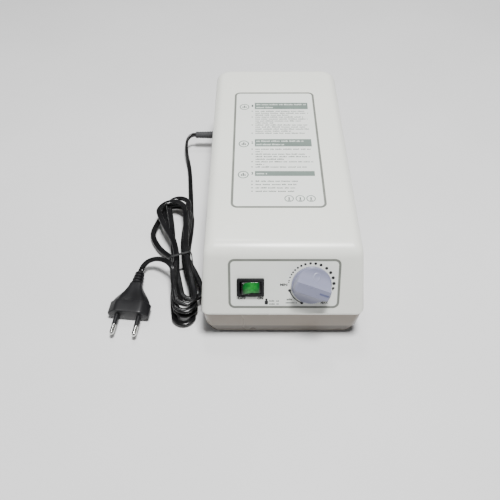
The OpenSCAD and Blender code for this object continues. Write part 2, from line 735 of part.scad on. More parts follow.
// Cage that sits on the motor and carries the port plate
module motor_bracket() color([0.8, 0.8, 0.8])
    translate([0, motor_y, bracket_z]) difference() {
        union() {
            cylinder(d = motor_d, h = 2);
            for (a = [0, 90, 180, 270]) rotate([0, 0, a + 45])
                translate([rotor_r + 3.4, 0, 0]) cylinder(r = 2.4, h = plate_z - bracket_z);
        }
        translate([0, 0, -1]) cylinder(r = 7, h = 5);
    }

module motor_shaft() color([0.75, 0.75, 0.77])
    translate([0, motor_y, bracket_z - 5.6]) cylinder(r = 2, h = rotor_z - bracket_z + 5.6 + 2);

module valve_rotor() color([0.9, 0.88, 0.8])
    translate([0, motor_y, rotor_z]) difference() {
        cylinder(r = rotor_r, h = 4);
        translate([0, 0, -1]) cylinder(r = 2, h = 3);
        translate([-2, -2, 3]) cube([outlet_port + 4, 4, 2]);
        for (a = [90, 180, 270]) rotate([0, 0, a])
            translate([outlet_port, 0, -1]) cylinder(r = 1.5, h = 6);
    }

module rotor_spring() color([0.6, 0.6, 0.62])
    translate([0, motor_y, bracket_z + 2.6]) for (i = [0:3])
        translate([0, 0, 0.5 + i * 1.4]) rotate_extrude()
            translate([4, 0]) circle(0.5, $fn = 16);

module port_plate() color([0.86, 0.86, 0.84])
    translate([0, motor_y, plate_z]) difference() {
        union() {
            cylinder(r = rotor_r + 6, h = 4);
            for (x = [-outlet_port, 0, outlet_port]) translate([x, 0, 0]) {
                cylinder(r = 3.4, h = 5.5);
                cylinder(r = barb_r, h = 12);
            }
        }
        for (x = [-outlet_port, 0, outlet_port])
            translate([x, 0, -1]) cylinder(r = 1, h = 16);
    }

// Air hoses between the chambers, the regulator, the valve and the outlets
hose_z = body_h - wall - 8.6;
bend = 8;
cross_arm = 9;
grip = 4;
stub_z = axis_z + chamber_d / 2 + 0.8;
stub_x = chamber_in + 10;
port_hose_z = plate_z + 5.6;
outlet_hose_z = plate_z + 12.6;
outlet_drop_y = port_back - wall - 18.5;
hose_tint = [0.9, 0.9, 0.88];

// A solid round run through corner points on square legs, longer by over at both ends
module run(points, r, over = 0) {
    last = len(points) - 1;
    for (i = [0:last - 1]) {
        d = unit(points[i + 1] - points[i]);
        u = [d[1], d[2], d[0]];
        v = cross3(d, u);
        from = points[i] + d * (i == 0 ? -over : bend);
        to = points[i + 1] - d * (i == last - 1 ? -over : bend);
        multmatrix([[u[0], v[0], d[0], from[0]], [u[1], v[1], d[1], from[1]],
            [u[2], v[2], d[2], from[2]]])
            cylinder(r = r, h = norm(to - from));
    }
    for (i = [1:1:last - 1]) {
        a = unit(points[i] - points[i - 1]);
        b = unit(points[i + 1] - points[i]);
        n = cross3(a, b);
        c = points[i] + bend * (b - a);
        multmatrix([[-b[0], a[0], n[0], c[0]], [-b[1], a[1], n[1], c[1]],
            [-b[2], a[2], n[2], c[2]]])
            rotate_extrude(angle = 90) translate([bend, 0]) circle(r);
    }
}

module hose(points) color(hose_tint) difference() {
    run(points, hose_r);
    run(points, hose_bore / 2, 1);
}

module air_cross() color([0.88, 0.88, 0.86])
    translate([0, drive_y, hose_z]) difference() {
        union() {
            cube(8, center = true);
            for (a = [0:90:270]) rotate([0, 90, a]) cylinder(r = barb_r, h = cross_arm);
        }
        cylinder(r = 1.6, h = 4, center = true);
        for (a = [0:90:270]) rotate([0, 90, a])
            translate([0, 0, 1]) cylinder(r = 1, h = cross_arm);
    }

module chamber_hoses() for (s = [-1, 1])
    hose([[s * stub_x, drive_y, stub_z], [s * stub_x, drive_y, hose_z],
        [s * (cross_arm - grip), drive_y, hose_z]]);

module valve_hose() hose([[0, drive_y + cross_arm - grip, hose_z], [0, motor_y, hose_z],
    [0, motor_y, port_hose_z]]);

reg_y = front_y + tenths(knob_t * cos(panel_a) + port_n * sin(panel_a));
reg_z = tenths(rim_z + knob_t * sin(panel_a) - port_n * cos(panel_a));

module regulator_hose() hose([[knob_x - 7.4, reg_y, reg_z], [0, reg_y, reg_z],
    [0, reg_y, hose_z], [0, drive_y - cross_arm + grip, hose_z]]);

module outlet_hoses() for (x = [-outlet_port, outlet_port])
    hose([[x, motor_y, port_hose_z], [x, motor_y, outlet_hose_z + bend],
        [x, outlet_drop_y, outlet_hose_z + bend], [x, outlet_drop_y, port_z],
        [x, port_back - wall - 3.4, port_z]]);

// Mains parts inside the lower housing
block_y = back_y - 17;
block_x = -45;
wire_d = 1.8;

module terminal_block() color([0.9, 0.9, 0.88])
    translate([block_x, block_y - 5, floor_z]) difference() {
        cube([24, 10, 12]);
        for (i = [0:3]) translate([3 + 6 * i, 0, 8]) {
            translate([0, 5, 0]) cylinder(r = 2, h = 10);
            translate([0, -1, 0]) rotate([-90, 0, 0]) cylinder(r = 1.3, h = 12);
        }
    }

module fuse_holder() color([0.25, 0.25, 0.27])
    translate([22, block_y, floor_z]) {
        translate([0, -4.5, 0]) cube([20, 9, 5]);
        translate([0, 0, 8]) rotate([0, 90, 0]) cylinder(r = 4.5, h = 20);
        translate([20, 0, 8]) rotate([0, 90, 0]) cylinder(r = 3.6, h = 4);
    }

// Clamp on the hook channel that holds the cord just inside the wall
module cord_clamp() color([0.85, 0.85, 0.83])
    translate([-hook_x, cord_exit[1], channel_top + 2]) difference() {
        translate([-5, -5.5, 0]) cube([10, 11, port_z + cord_t / 2 + 3 - channel_top - 2]);
        translate([0, 0, port_z - channel_top - 2]) rotate([0, 90, 0])
            cylinder(d = cord_w + 0.2, h = 30, center = true);
        for (y = [-4.2, 4.2]) translate([0, y, 3]) cylinder(r = 0.7, h = 20);
    }

relief_neck = 4;

// Moulded strain relief: a collar on both sides of the wall and a taper towards the cord
module strain_relief() color([0.1, 0.1, 0.11])
    translate([-port_half, cord_exit[1], port_z]) rotate([0, -90, 0]) {
        translate([0, 0, -wall - 2.8 - port_slope]) cylinder(r = 5.6, h = 2.4);
        translate([0, 0, -wall - 0.5 - port_slope])
            cylinder(r = relief_neck, h = wall + 1 + port_slope);
        translate([0, 0, 0.1]) cylinder(r = 5, h = 1.6);
        translate([0, 0, 1.7]) cylinder(r1 = 4.1, r2 = 3.5, h = relief_l - 1.7);
    }

// Cord and leads inside the housing, each as points from the front, the pump or the back
clamp_x = 5 - hook_x;
lead_routes = [
    [back(clamp_x, -28.2, 18.2), back(-39.2, -28.2, 18.2), back(-37.4, -27.4, 17.6),
        back(-36.3, -26, 16.4), back(-36, -24.4, 14.9), back(-36, -22.4, 13.6),
        back(-36, -19, 13.4)],
    [back(clamp_x, -28.2, 15.6), back(-38.6, -28.2, 15.6), back(-34.5, -28, 15.5),
        back(-31.5, -26.8, 14.9), back(-30.2, -24.6, 14), back(-30, -22.4, 13.5),
        back(-30, -19, 13.4)],
    [back(-24, -19, 13.4), back(-24, -22.6, 13.3), back(-23.2, -26, 12), back(-20, -28.6, 10.2),
        back(-10, -29.4, 9.5), back(10, -29.4, 9.5), back(22, -28.4, 9.8),
        back(26.6, -25.4, 11.4), back(27, -23.6, 13), back(27, -21.5, 13.4)],
    [back(33, -21.5, 13.4), back(33, -23.6, 13), back(32.4, -28, 10.6), back(29, -31.4, 9.6),
        back(10, -32.2, 9.5), back(-16, -32.2, 9.6), back(-27, -33.2, 10.6),
        back(-34, -36.6, 13), back(-40.5, -42, 14.6), back(-42.2, -50, 14.8),
        back(-42.2, -74, 14.8), back(-38.5, -79, 16.4), back(-36.4, -83.5, 18),
        back(-36.4, -99, 21), back(-39, -104, 23), back(-45.5, -109, 24.5), pump(-51, 44, 25),
        pump(-51, -45, 25), pump(-49, -58, 27), front(-43, 40, 34), front(-34, 37.5, 38.6),
        front(-31, 34.6, 40.5), front(-31, 31, 42.35)],
    [back(-30, -14, 13.4), back(-30, -10.5, 13.6), back(-29, -8, 14.4), back(-26, -7.2, 15.5),
        back(-21, -8.2, 17), back(-19.4, -12, 18.5), back(-19.6, -18, 18.8),
        back(-19.8, -22.4, 18.4), back(-22.5, -26.4, 16.8), back(-27, -30, 14.6),
        back(-34, -34, 14), back(-38, -39, 14.2), back(-39.8, -50, 14.6), back(-39.8, -74, 14.6),
        back(-35.8, -78.6, 16.6), back(-34, -83.5, 18), back(-34, -99, 21), back(-36.4, -105, 23),
        back(-43, -111, 24.5), pump(-48.6, 44, 25), pump(-48.6, -28, 25), pump(-45, -38, 29),
        pump(-33, -42, 41), pump(-26.5, -43.4, 50.5), pump(-20, -44, 53.6),
        pump(-15, -43.4, 54.6), pump(-12.3, -41.4, 55), pump(-12, -37.5, 55)],
    [front(-19, 31, 42.35), front(-19, 34.6, 40.5), front(-17, 38.5, 42), front(-13, 44, 48),
        front(-10, 52, 53), pump(-9, -46, 55), pump(-9, -37.5, 55)],
    [back(37, -21.5, 13.4), back(36.6, -25, 13.8), back(32, -27.6, 15.4), back(26, -29, 17.6),
        back(21.5, -29.6, 19), back(17.4, -33.6, 19)],
    [back(-17.4, -33.6, 19), back(-20.5, -30.5, 18.6), back(-24, -29.6, 16.9),
        back(-27, -30, 14.6)]];

module inner_cord() color([0.1, 0.1, 0.11])
    sweep([[-port_half + wall + 2.8 + port_slope, cord_exit[1], port_z],
        [clamp_x, cord_exit[1], port_z]],
        cord_t, cord_w);

module wiring_leads() color([0.45, 0.25, 0.15])
    for (route = lead_routes) sweep(route, wire_d, wire_d, 6);

// Hank: loops wound upward in a loose bundle beside the pump, drawn in at the waist by the tie
hank_at = [cord_exit[0] - 3, cord_exit[1] - 168];
hank_tilt = 8;
hank_lift = 1.2;
loop_rings = 24;
run_rings = 6;
cap_rings = 6;
hank_last = 4 * loop_rings + run_rings + cap_rings + 1;
lead = cord_w;

// Half-width, sideways shift and reach of each loop's lower and upper end, as it was gathered
hank_start = [9.5, 3.5, 50];
low_ends = [[7.8, -1, 60.5], [7.8, 1.2, 55], [9, 7.5, 41], [7.8, 1, 56], [7.8, 2.2, 51.5]];
top_ends = [[14.5, -3, 55], [11, -2, 58], [9.5, 2, 63], [12.5, -4.5, 52], [13, -2, 54]];
// Where each loop's two runs pass the waist, to the right and to the left of it
waists = [[6, 5.4], [3.2, 3.4], [5, 5.8], [3.6, 3.1], [6, 5.6]];
// How far the first loop's left run stands out above the tie
loose_out = 15;

// A ring's place in the hank's frame: across, along, up
function hank_local(i) = let (
    n = floor(i / loop_rings),
    k = i % loop_rings,
    before = n == 0 ? hank_start : top_ends[n - 1],
    low = low_ends[n],
    top = top_ends[n],
    going = k < run_rings,
    at_low = !going && k < run_rings + cap_rings,
    coming = k >= run_rings + cap_rings && k < 2 * run_rings + cap_rings,
    t = (going ? k : k - run_rings - cap_rings) / run_rings,
    from = going ? [before[1] + before[0], before[2]] : [low[1] - low[0], -low[2]],
    to = going ? [low[1] + low[0], -low[2]] : [top[1] - top[0], top[2]],
    waist = going ? waists[n][0] : -waists[n][1],
    draw = going || coming ? (1 - cos(360 * t)) / 2 : 0,
    out = coming && n == 0 && t > 0.5 ? loose_out * (1 - cos(720 * t)) / 2 : 0,
    a = at_low ? -180 * (k - run_rings) / cap_rings
        : 180 - 180 * (k - 2 * run_rings - cap_rings) / cap_rings,
    end = at_low ? low : top,
    on_end = [end[1] + end[0] * cos(a), (at_low ? -1 : 1) * end[2] + end[0] * sin(a)],
    on_run = [(from[0] + (to[0] - from[0]) * t) * (1 - draw) + waist * draw - out,
        from[1] + (to[1] - from[1]) * t],
    place = going || coming ? on_run : on_end)
    [place[0], place[1], cord_t / 2 + 0.02 + hank_lift * draw + hank_rise * i / loop_rings];

function hank_world(p) = [hank_at[0] + p[0] * cos(hank_tilt) - p[1] * sin(hank_tilt),
    hank_at[1] + p[0] * sin(hank_tilt) + p[1] * cos(hank_tilt), p[2]];

hank_first = hank_local(0) + [0, lead, 0];
hank_final = hank_local(hank_last) + [0, lead, 0];
hank_points = concat([hank_first], [for (i = [0:hank_last]) hank_local(i)], [hank_final]);
hank_path = [for (p = hank_points) hank_world(p)];

// Least space between two loops' surfaces, sideways or one above the other
function space(a, b) = let (d = a - b) max(norm([d[0], d[1]]) - cord_w, abs(d[2]) - cord_t);
function hank_space() = min([for (i = [0:len(hank_points) - 1])
    for (j = [i + loop_rings / 2:1:len(hank_points) - 1]) space(hank_points[i], hank_points[j])]);

plug_turn = -5.5;
plug_way = [sin(plug_turn), -cos(plug_turn), 0];
plug_lead = 3;
plug_neck = cord_exit + [-37.6, -185.2, plug_t / 2];
cord_path = concat([cord_exit + [0, 0, port_z]], [for (p = cord_route) cord_exit + p],
    [hank_world(hank_first + [0, lead, 0]), hank_path[0]]);
tail_path = concat([hank_path[len(hank_path) - 1], hank_world(hank_final + [0, lead, 0])],
    [for (p = tail_route) cord_exit + p], [plug_neck - plug_lead * plug_way, plug_neck]);

module power_cord() color([0.06, 0.06, 0.07])
    sweep(cord_path, cord_t, cord_w, 8, [0, 90]);

module cord_hank() color([0.06, 0.06, 0.07]) {
    echo(least_gap_of_the_hank = hank_space());
    sweep(hank_path, cord_w, cord_t, 6);
}

module cord_tail() color([0.06, 0.06, 0.07])
    sweep(tail_path, cord_w, cord_t);

tie_u = -7.5;
tie_turn = 12;
tie_w = 19.3;
tie_t = 0.8;
tie_floor = 1;
tie_roof = cord_t + hank_lift + hank_rise * (4 * loop_rings + run_rings / 2) / loop_rings + 0.5;

// Flat tie round the waist of the hank, a little askew
module cord_tie() color([0.1, 0.1, 0.11])
    translate(hank_at) rotate([0, 0, hank_tilt])
        translate([0.55, tie_u, (tie_floor + tie_roof) / 2]) rotate([90, 0, tie_turn])
            linear_extrude(2, center = true) difference() {
                rounded(tie_w + 2 * tie_t, tie_roof - tie_floor + 2 * tie_t, 4);
                rounded(tie_w, tie_roof - tie_floor, 4 - tie_t);
            }

// Moulded two-pin plug, lying flat, with its neck towards the hank
neck_l = 13.5;
taper_l = 20;
face_l = 12;
flat_w = 22;
flank_t = 3;
pin_gap = 18.6;
pin_l = 19;
sleeve_l = 10;

module at_plug() translate(plug_neck) rotate([90, 0, plug_turn]) children();

// Outline of the plug's face, flat above and below with slanted flanks, drawn in by e
module plug_face(e) {
    w = plug_w / 2 - e;
    t = plug_t / 2 - e;
    polygon([[-w, -flank_t / 2], [-flat_w / 2, -t], [flat_w / 2, -t], [w, -flank_t / 2],
        [w, flank_t / 2], [flat_w / 2, t], [-flat_w / 2, t], [-w, flank_t / 2]]);
}

module plug_body() color([0.07, 0.07, 0.08])
    at_plug() {
        for (i = [0:3]) translate([0, 0, i * neck_l / 4]) {
            cylinder(r = 3.4 + i * 0.35, h = neck_l / 4);
            translate([0, 0, 0.8]) cylinder(r = 4.2 + i * 0.35, h = 1.6);
        }
        translate([0, 0, neck_l]) hull() {
            linear_extrude(0.1) rounded(11, 9.5, 3, $fn = 32);
            translate([0, 0, taper_l - 0.1]) linear_extrude(0.1) plug_face(0.7);
        }
        translate([0, 0, neck_l + taper_l]) linear_extrude(face_l) plug_face(0);
    }

module at_pins()
    at_plug() for (x = [-pin_gap / 2, pin_gap / 2])
        translate([x, 0, neck_l + taper_l + face_l]) children();

module plug_sleeves() color([0.15, 0.15, 0.16])
    at_pins() ring(2, 1.6, sleeve_l);

module plug_pins() color([0.8, 0.8, 0.82])
    at_pins() {
        cylinder(r = 1.6, h = sleeve_l);
        translate([0, 0, sleeve_l]) cylinder(r = 2, h = pin_l - sleeve_l - 1.6);
        translate([0, 0, pin_l - 1.6]) cylinder(r1 = 2, r2 = 1, h = 1.6);
    }

upper_housing();
lower_housing();
rubber_feet();
housing_screws();
top_label();
front_label();
switch_body();
switch_terminals();
switch_rocker();
pressure_knob();
regulator_stem();
regulator_body();
regulator_nut();
regulator_carriage();
regulator_spring();
regulator_ball();
bed_hook(-hook_x);  // bed_hook_left
bed_hook(hook_x);  // bed_hook_right
hook_pins();
outlet_nozzle(-outlet_gap / 2);  // outlet_nozzle_left
outlet_nozzle(outlet_gap / 2);  // outlet_nozzle_right
pump_frame();
pump_mounts();
pump_core();
coil_bobbin();
coil_winding();
pump_arm(-1);  // pump_arm_left
pump_arm(1);  // pump_arm_right
arm_magnet(-1);  // arm_magnet_left
arm_magnet(1);  // arm_magnet_right
arm_pivot_pins();
diaphragms();
valve_chamber(-1);  // valve_chamber_left
valve_chamber(1);  // valve_chamber_right
flap_valves();
timer_motor();
motor_bracket();
motor_screws();
motor_shaft();
valve_rotor();
rotor_spring();
port_plate();
air_cross();
chamber_hoses();
valve_hose();
regulator_hose();
outlet_hoses();
terminal_block();
fuse_holder();
cord_clamp();
inner_cord();
wiring_leads();
strain_relief();
power_cord();
cord_hank();
cord_tail();
cord_tie();
plug_body();
plug_sleeves();
plug_pins();
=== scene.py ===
import json
import math
import random

import bmesh
import bpy
from mathutils import Matrix, Vector


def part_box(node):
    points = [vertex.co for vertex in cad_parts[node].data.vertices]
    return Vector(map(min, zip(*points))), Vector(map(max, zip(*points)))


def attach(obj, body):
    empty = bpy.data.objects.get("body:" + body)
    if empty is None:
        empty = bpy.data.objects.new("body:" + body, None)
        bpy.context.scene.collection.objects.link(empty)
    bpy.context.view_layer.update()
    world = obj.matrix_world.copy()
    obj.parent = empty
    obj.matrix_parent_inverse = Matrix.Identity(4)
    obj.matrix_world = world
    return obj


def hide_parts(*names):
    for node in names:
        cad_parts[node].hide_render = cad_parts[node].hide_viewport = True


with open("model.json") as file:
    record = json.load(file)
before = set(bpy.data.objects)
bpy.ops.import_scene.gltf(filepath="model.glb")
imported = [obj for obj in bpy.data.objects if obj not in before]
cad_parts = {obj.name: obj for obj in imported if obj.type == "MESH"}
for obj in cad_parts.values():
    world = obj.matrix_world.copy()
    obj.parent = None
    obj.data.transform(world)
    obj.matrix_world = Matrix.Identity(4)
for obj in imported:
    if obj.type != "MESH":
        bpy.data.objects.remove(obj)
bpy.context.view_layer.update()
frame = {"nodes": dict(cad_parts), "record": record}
nodes = frame["nodes"]
MM = 0.001

# Places in the CAD frame, in metres, and the slope of the front panel
front_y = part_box("upper_housing")[0].y
back_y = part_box("upper_housing")[1].y
base_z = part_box("lower_housing")[0].z
RIM_Z = 0.033
STEP_UP = 0.0095
PANEL_ANGLE = math.radians(62)


def mm(point):
    """A place or a step given in millimetres, in metres."""
    return Vector([v * MM for v in point])


# Camera at the photograph's viewing point: place in metres, lens in millimetres
CAMERA_PLACE = (-0.0225, front_y - 0.2432, 0.3911)
CAMERA_PITCH = math.radians(49.24)
CAMERA_YAW = math.radians(-0.6)
CAMERA_ROLL = math.radians(0.42)
CAMERA_LENS = 39.6
CAMERA_SENSOR = 36
CAMERA_NEAREST = 0.01


def camera_axes():
    """The camera's own ways to the right, up and backward."""
    level = Vector((math.cos(CAMERA_YAW), -math.sin(CAMERA_YAW), 0))
    flat = math.cos(CAMERA_PITCH)
    ahead = Vector((math.sin(CAMERA_YAW) * flat, math.cos(CAMERA_YAW) * flat, -math.sin(CAMERA_PITCH)))
    down = ahead.cross(level)
    right = math.cos(CAMERA_ROLL) * level + math.sin(CAMERA_ROLL) * down
    under = -math.sin(CAMERA_ROLL) * level + math.cos(CAMERA_ROLL) * down
    return right, -under, -ahead


camera = bpy.data.objects.new("camera", bpy.data.cameras.new("camera"))
bpy.context.collection.objects.link(camera)
camera.data.sensor_width = CAMERA_SENSOR
camera.data.lens = CAMERA_LENS
camera.data.clip_start = CAMERA_NEAREST
camera.matrix_world = Matrix.Translation(CAMERA_PLACE) @ Matrix(camera_axes()).transposed().to_4x4()
bpy.context.scene.camera = camera


class Finish:
    """A node material in the making, with its nodes, its links and its shader."""

    def __init__(self, name):
        self.material = bpy.data.materials.new(name)
        self.material.use_nodes = True
        self.nodes = self.material.node_tree.nodes
        self.links = self.material.node_tree.links
        self.shader = self.nodes["Principled BSDF"]

    def add(self, kind, values=()):
        """A new node, with some of its inputs set by name."""
        made = self.nodes.new("ShaderNode" + kind)
        for name, value in dict(values).items():
            made.inputs[name].default_value = value
        return made

    def place(self):
        """The piece's own coordinates."""
        return self.add("TexCoord").outputs["Object"]

    def set(self, name, value):
        """Give one of the shader's inputs a plain value."""
        self.shader.inputs[name].default_value = value

    def feed(self, name, source):
        """Give one of the shader's inputs another node's output."""
        self.links.new(source, self.shader.inputs[name])

    def noise(self, scale, detail=2, rough=0.5, stretch=(1, 1, 1)):
        """Noise that gets finer with scale."""
        fit = self.add("Mapping", {"Scale": stretch})
        made = self.add("TexNoise", {"Scale": scale, "Detail": detail, "Roughness": rough})
        self.links.new(self.place(), fit.inputs["Vector"])
        self.links.new(fit.outputs["Vector"], made.inputs["Vector"])
        return made.outputs["Fac"]

    def ramp(self, source, low, high, start=0.35, end=0.65):
        """Colours from low to high as source goes from start to end."""
        made = self.add("ValToRGB")
        first, last = made.color_ramp.elements
        first.position, last.position = start, end
        first.color, last.color = (*low, 1), (*high, 1)
        self.links.new(source, made.inputs["Fac"])
        return made.outputs["Color"]

    def spread(self, source, low, high, start=0.3, end=0.7):
        """Numbers from low to high as source goes from start to end."""
        made = self.add("MapRange", {"From Min": start, "From Max": end, "To Min": low, "To Max": high})
        self.links.new(source, made.inputs["Value"])
        return made.outputs["Result"]

    def bump(self, source, strength, distance):
        """Fine relief, distance metres deep."""
        made = self.add("Bump", {"Strength": strength, "Distance": distance})
        self.links.new(source, made.inputs["Height"])
        self.feed("Normal", made.outputs["Normal"])

    def deepen_below(self, height, soft, factor):
        """Painted shade: multiply the colour by factor below a height, within soft of it."""
        color = self.shader.inputs["Base Color"].links[0].from_socket
        split = self.add("SeparateXYZ")
        self.links.new(self.place(), split.inputs["Vector"])
        shade_tone = self.spread(split.outputs["Z"], factor, 1, height - soft, height + soft)
        mixed = self.add("VectorMath")
        mixed.operation = "SCALE"
        self.links.new(color, mixed.inputs[0])
        self.links.new(shade_tone, mixed.inputs["Scale"])
        self.feed("Base Color", mixed.outputs["Vector"])


def shade(color, factor):
    return tuple(min(1.0, c * factor) for c in color)


def surface(name, color, rough=(0.35, 0.45), vary=0.05, patch=18, grain=1400, depth=0.00004,
            strength=0.25, metal=0.0, coat=0.0, stretch=(1, 1, 1)):
    """Moulded or turned surface: broad colour drift, varied gloss and a fine grain."""
    finish = Finish(name)
    broad = finish.noise(patch, 4)
    finish.feed("Base Color", finish.ramp(broad, shade(color, 1 - vary), shade(color, 1 + vary)))
    finish.feed("Roughness", finish.spread(broad, *rough))
    finish.bump(finish.noise(grain, 3, 0.6, stretch), strength, depth)
    finish.set("Metallic", metal)
    finish.set("Coat Weight", coat)
    return finish


# Switch lens: its lamp's place, the light's loss per metre, the two greens and the light between them
LAMP_PLACE = (-0.0243, front_y + 0.0096, RIM_Z + 0.0212)
LAMP_LOSS = 115
LENS_DEEP = (0.002, 0.03, 0.006)
LENS_LIT = (0.010, 0.21, 0.028)
LENS_FROM = 0.06
LENS_TO = 0.40
LENS_GLOW = 0.2
LENS_ROUGH = 0.14
LENS_CLOUD = 420
LENS_GRAIN = 900
LENS_DEPTH = 0.00004


def lit_lens():
    """Green lens, brightest over its lamp and deep green towards its ends."""
    finish = Finish("lit_lens")
    middle = finish.add("Mapping", {
        "Scale": (LAMP_LOSS,) * 3, "Location": [-LAMP_LOSS * v for v in LAMP_PLACE]})
    ball = finish.add("TexGradient")
    ball.gradient_type = "SPHERICAL"
    finish.links.new(finish.place(), middle.inputs["Vector"])
    finish.links.new(middle.outputs["Vector"], ball.inputs["Vector"])
    clouded = finish.add("Math")
    clouded.operation = "MULTIPLY"
    finish.links.new(ball.outputs["Fac"], clouded.inputs[0])
    finish.links.new(finish.noise(LENS_CLOUD, 3, 0.6), clouded.inputs[1])
    tint = finish.ramp(clouded.outputs["Value"], LENS_DEEP, LENS_LIT, LENS_FROM, LENS_TO)
    finish.feed("Base Color", tint)
    finish.feed("Emission Color", tint)
    finish.set("Emission Strength", LENS_GLOW)
    finish.set("Roughness", LENS_ROUGH)
    finish.bump(finish.noise(LENS_GRAIN), 0.3, LENS_DEPTH)
    return finish


# By slot: name, colour, gloss, drift, patch and grain scale, grain depth and strength, metal, coat, stretch
SURFACES = {
    "shell": ("shell_plastic", (0.78, 0.79, 0.73), (0.24, 0.34), 0.012, 9, 2200, 0.00002, 0.18),
    # Base: the shell's off-white plastic painted dark brown-grey, as painted shade with a painted brown
    # reflection
    "base": ("base_plastic_painted_shade", (0.205, 0.168, 0.128), (0.24, 0.36), 0.03, 14, 1800, 0.00003, 0.25),
    "label": ("label_film", (0.76, 0.78, 0.74), (0.34, 0.44), 0.012, 14, 900, 0.00001, 0.12),
    "black_rubber": ("foot_rubber", (0.035, 0.035, 0.037), (0.6, 0.8), 0.2, 60, 1500, 0.00008, 0.5),
    "switch_black": ("switch_plastic", (0.012, 0.012, 0.013), (0.16, 0.28), 0.2, 50, 1500, 0.00002, 0.2),
    "knob": ("knob_plastic", (0.215, 0.222, 0.31), (0.24, 0.36), 0.03, 40, 2000, 0.00003, 0.25),
    "brass": ("brass", (0.75, 0.58, 0.28), (0.22, 0.4), 0.08, 120, 1500, 0.00002, 0.2, 1.0),
    "steel": ("steel", (0.55, 0.55, 0.57), (0.22, 0.42), 0.08, 90, 1500, 0.00002, 0.2, 1.0),
    "zinc": ("zinc_plate", (0.68, 0.69, 0.70), (0.2, 0.36), 0.06, 120, 1400, 0.00002, 0.2, 1.0),
    "white_plastic": ("white_plastic", (0.76, 0.76, 0.72), (0.34, 0.48), 0.02, 30, 1600, 0.00003, 0.3),
    "dark_plastic": ("dark_plastic", (0.035, 0.035, 0.038), (0.35, 0.5), 0.15, 40, 1500, 0.00003, 0.3),
    "iron": ("core_steel", (0.22, 0.22, 0.23), (0.4, 0.6), 0.12, 60, 1200, 0.00008, 0.5, 0.9, 0,
             (1, 1, 14)),
    "ferrite": ("ferrite", (0.06, 0.06, 0.062), (0.5, 0.7), 0.15, 80, 1400, 0.00006, 0.4),
    "copper": ("enamelled_wire", (0.50, 0.19, 0.06), (0.25, 0.4), 0.1, 90, 700, 0.0002, 0.8, 0.8, 0.5,
               (1, 9, 1)),
    "hose": ("hose_silicone", (0.72, 0.72, 0.68), (0.4, 0.5), 0.02, 40, 1500, 0.00002, 0.2),
    "motor_can": ("motor_can", (0.52, 0.52, 0.53), (0.25, 0.4), 0.06, 70, 1300, 0.00003, 0.3, 1.0),
    "cord_black": ("cord_sheath", (0.006, 0.006, 0.0065), (0.12, 0.24), 0.3, 60, 1200, 0.00002, 0.2),
    "plug_black": ("plug_plastic", (0.007, 0.007, 0.008), (0.34, 0.46), 0.2, 60, 1500, 0.00004, 0.35),
    "nickel": ("nickel", (0.72, 0.72, 0.70), (0.12, 0.26), 0.06, 150, 1500, 0.00001, 0.15, 1.0),
}

# Shine of the cord and plug, and the edge and tone of the painted shade strip round the base
SOFT_BLACK_SHINE = 0.36
SHADE_STRIP_SOFT = 0.0004
SHADE_STRIP_TONE = 0.42

finishes = {slot: surface(*row) for slot, row in SURFACES.items()}
finishes["lit_green"] = lit_lens()
# Painted shade: the base's colour darker below the step near its foot
finishes["base"].deepen_below(base_z + STEP_UP, SHADE_STRIP_SOFT, SHADE_STRIP_TONE)
for slot in ("cord_black", "plug_black"):
    finishes[slot].set("Specular IOR Level", SOFT_BLACK_SHINE)
for part in frame["record"]["subparts"]:
    carried = nodes[part["node"]].data.materials
    carried.clear()
    carried.append(finishes[part["material_slot"]].material)

# Edges of carried-over CAD pieces: how near corners join, and which angles count as an edge
WELD_WITHIN = 0.000002
ROUNDED_ANGLE = math.radians(32)
ROUNDED_STEPS = 2
KEPT_ANGLE = math.radians(30)
FLAT_WEIGHT = 80


def welded(name):
    """A carried-over CAD piece with its corners joined and its faces smooth."""
    piece = nodes[name]
    weld = piece.modifiers.new("weld", "WELD")
    weld.merge_threshold = WELD_WITHIN
    for face in piece.data.polygons:
        face.use_smooth = True
    return piece


def soften(name, width):
    """Small moulded radii, width in metres."""
    piece = welded(name)
    radii = piece.modifiers.new("radii", "BEVEL")
    radii.width = width
    radii.segments = ROUNDED_STEPS
    radii.limit_method = "ANGLE"
    radii.angle_limit = ROUNDED_ANGLE
    flat_first = piece.modifiers.new("flat_first", "WEIGHTED_NORMAL")
    flat_first.weight = FLAT_WEIGHT


def keep_edges(name):
    """Smooth shading that stops at the moulded edges."""
    edges = welded(name).modifiers.new("edges", "EDGE_SPLIT")
    edges.split_angle = KEPT_ANGLE


def add_piece(name, mesh, material, body):
    """A new piece of the object, riding on a body."""
    piece = bpy.data.objects.new(name, mesh)
    bpy.context.collection.objects.link(piece)
    mesh.materials.append(material)
    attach(piece, body)
    return piece


def solid(name, rings, body, slot):
    """Closed smooth solid through matching rings of points, with a face on each end."""
    count = len(rings[0])
    last = (len(rings) - 1) * count
    faces = []
    for a in range(0, last, count):
        for k in range(count):
            m = (k + 1) % count
            faces.append((a + k, a + m, a + count + m, a + count + k))
    faces.append(tuple(range(count))[::-1])
    faces.append(tuple(range(last, last + count)))
    mesh = bpy.data.meshes.new(name)
    mesh.from_pydata([tuple(p) for ring in rings for p in ring], [], faces)
    mesh.update()
    for face in mesh.polygons:
        face.use_smooth = True
    return add_piece(name, mesh, finishes[slot].material, body)


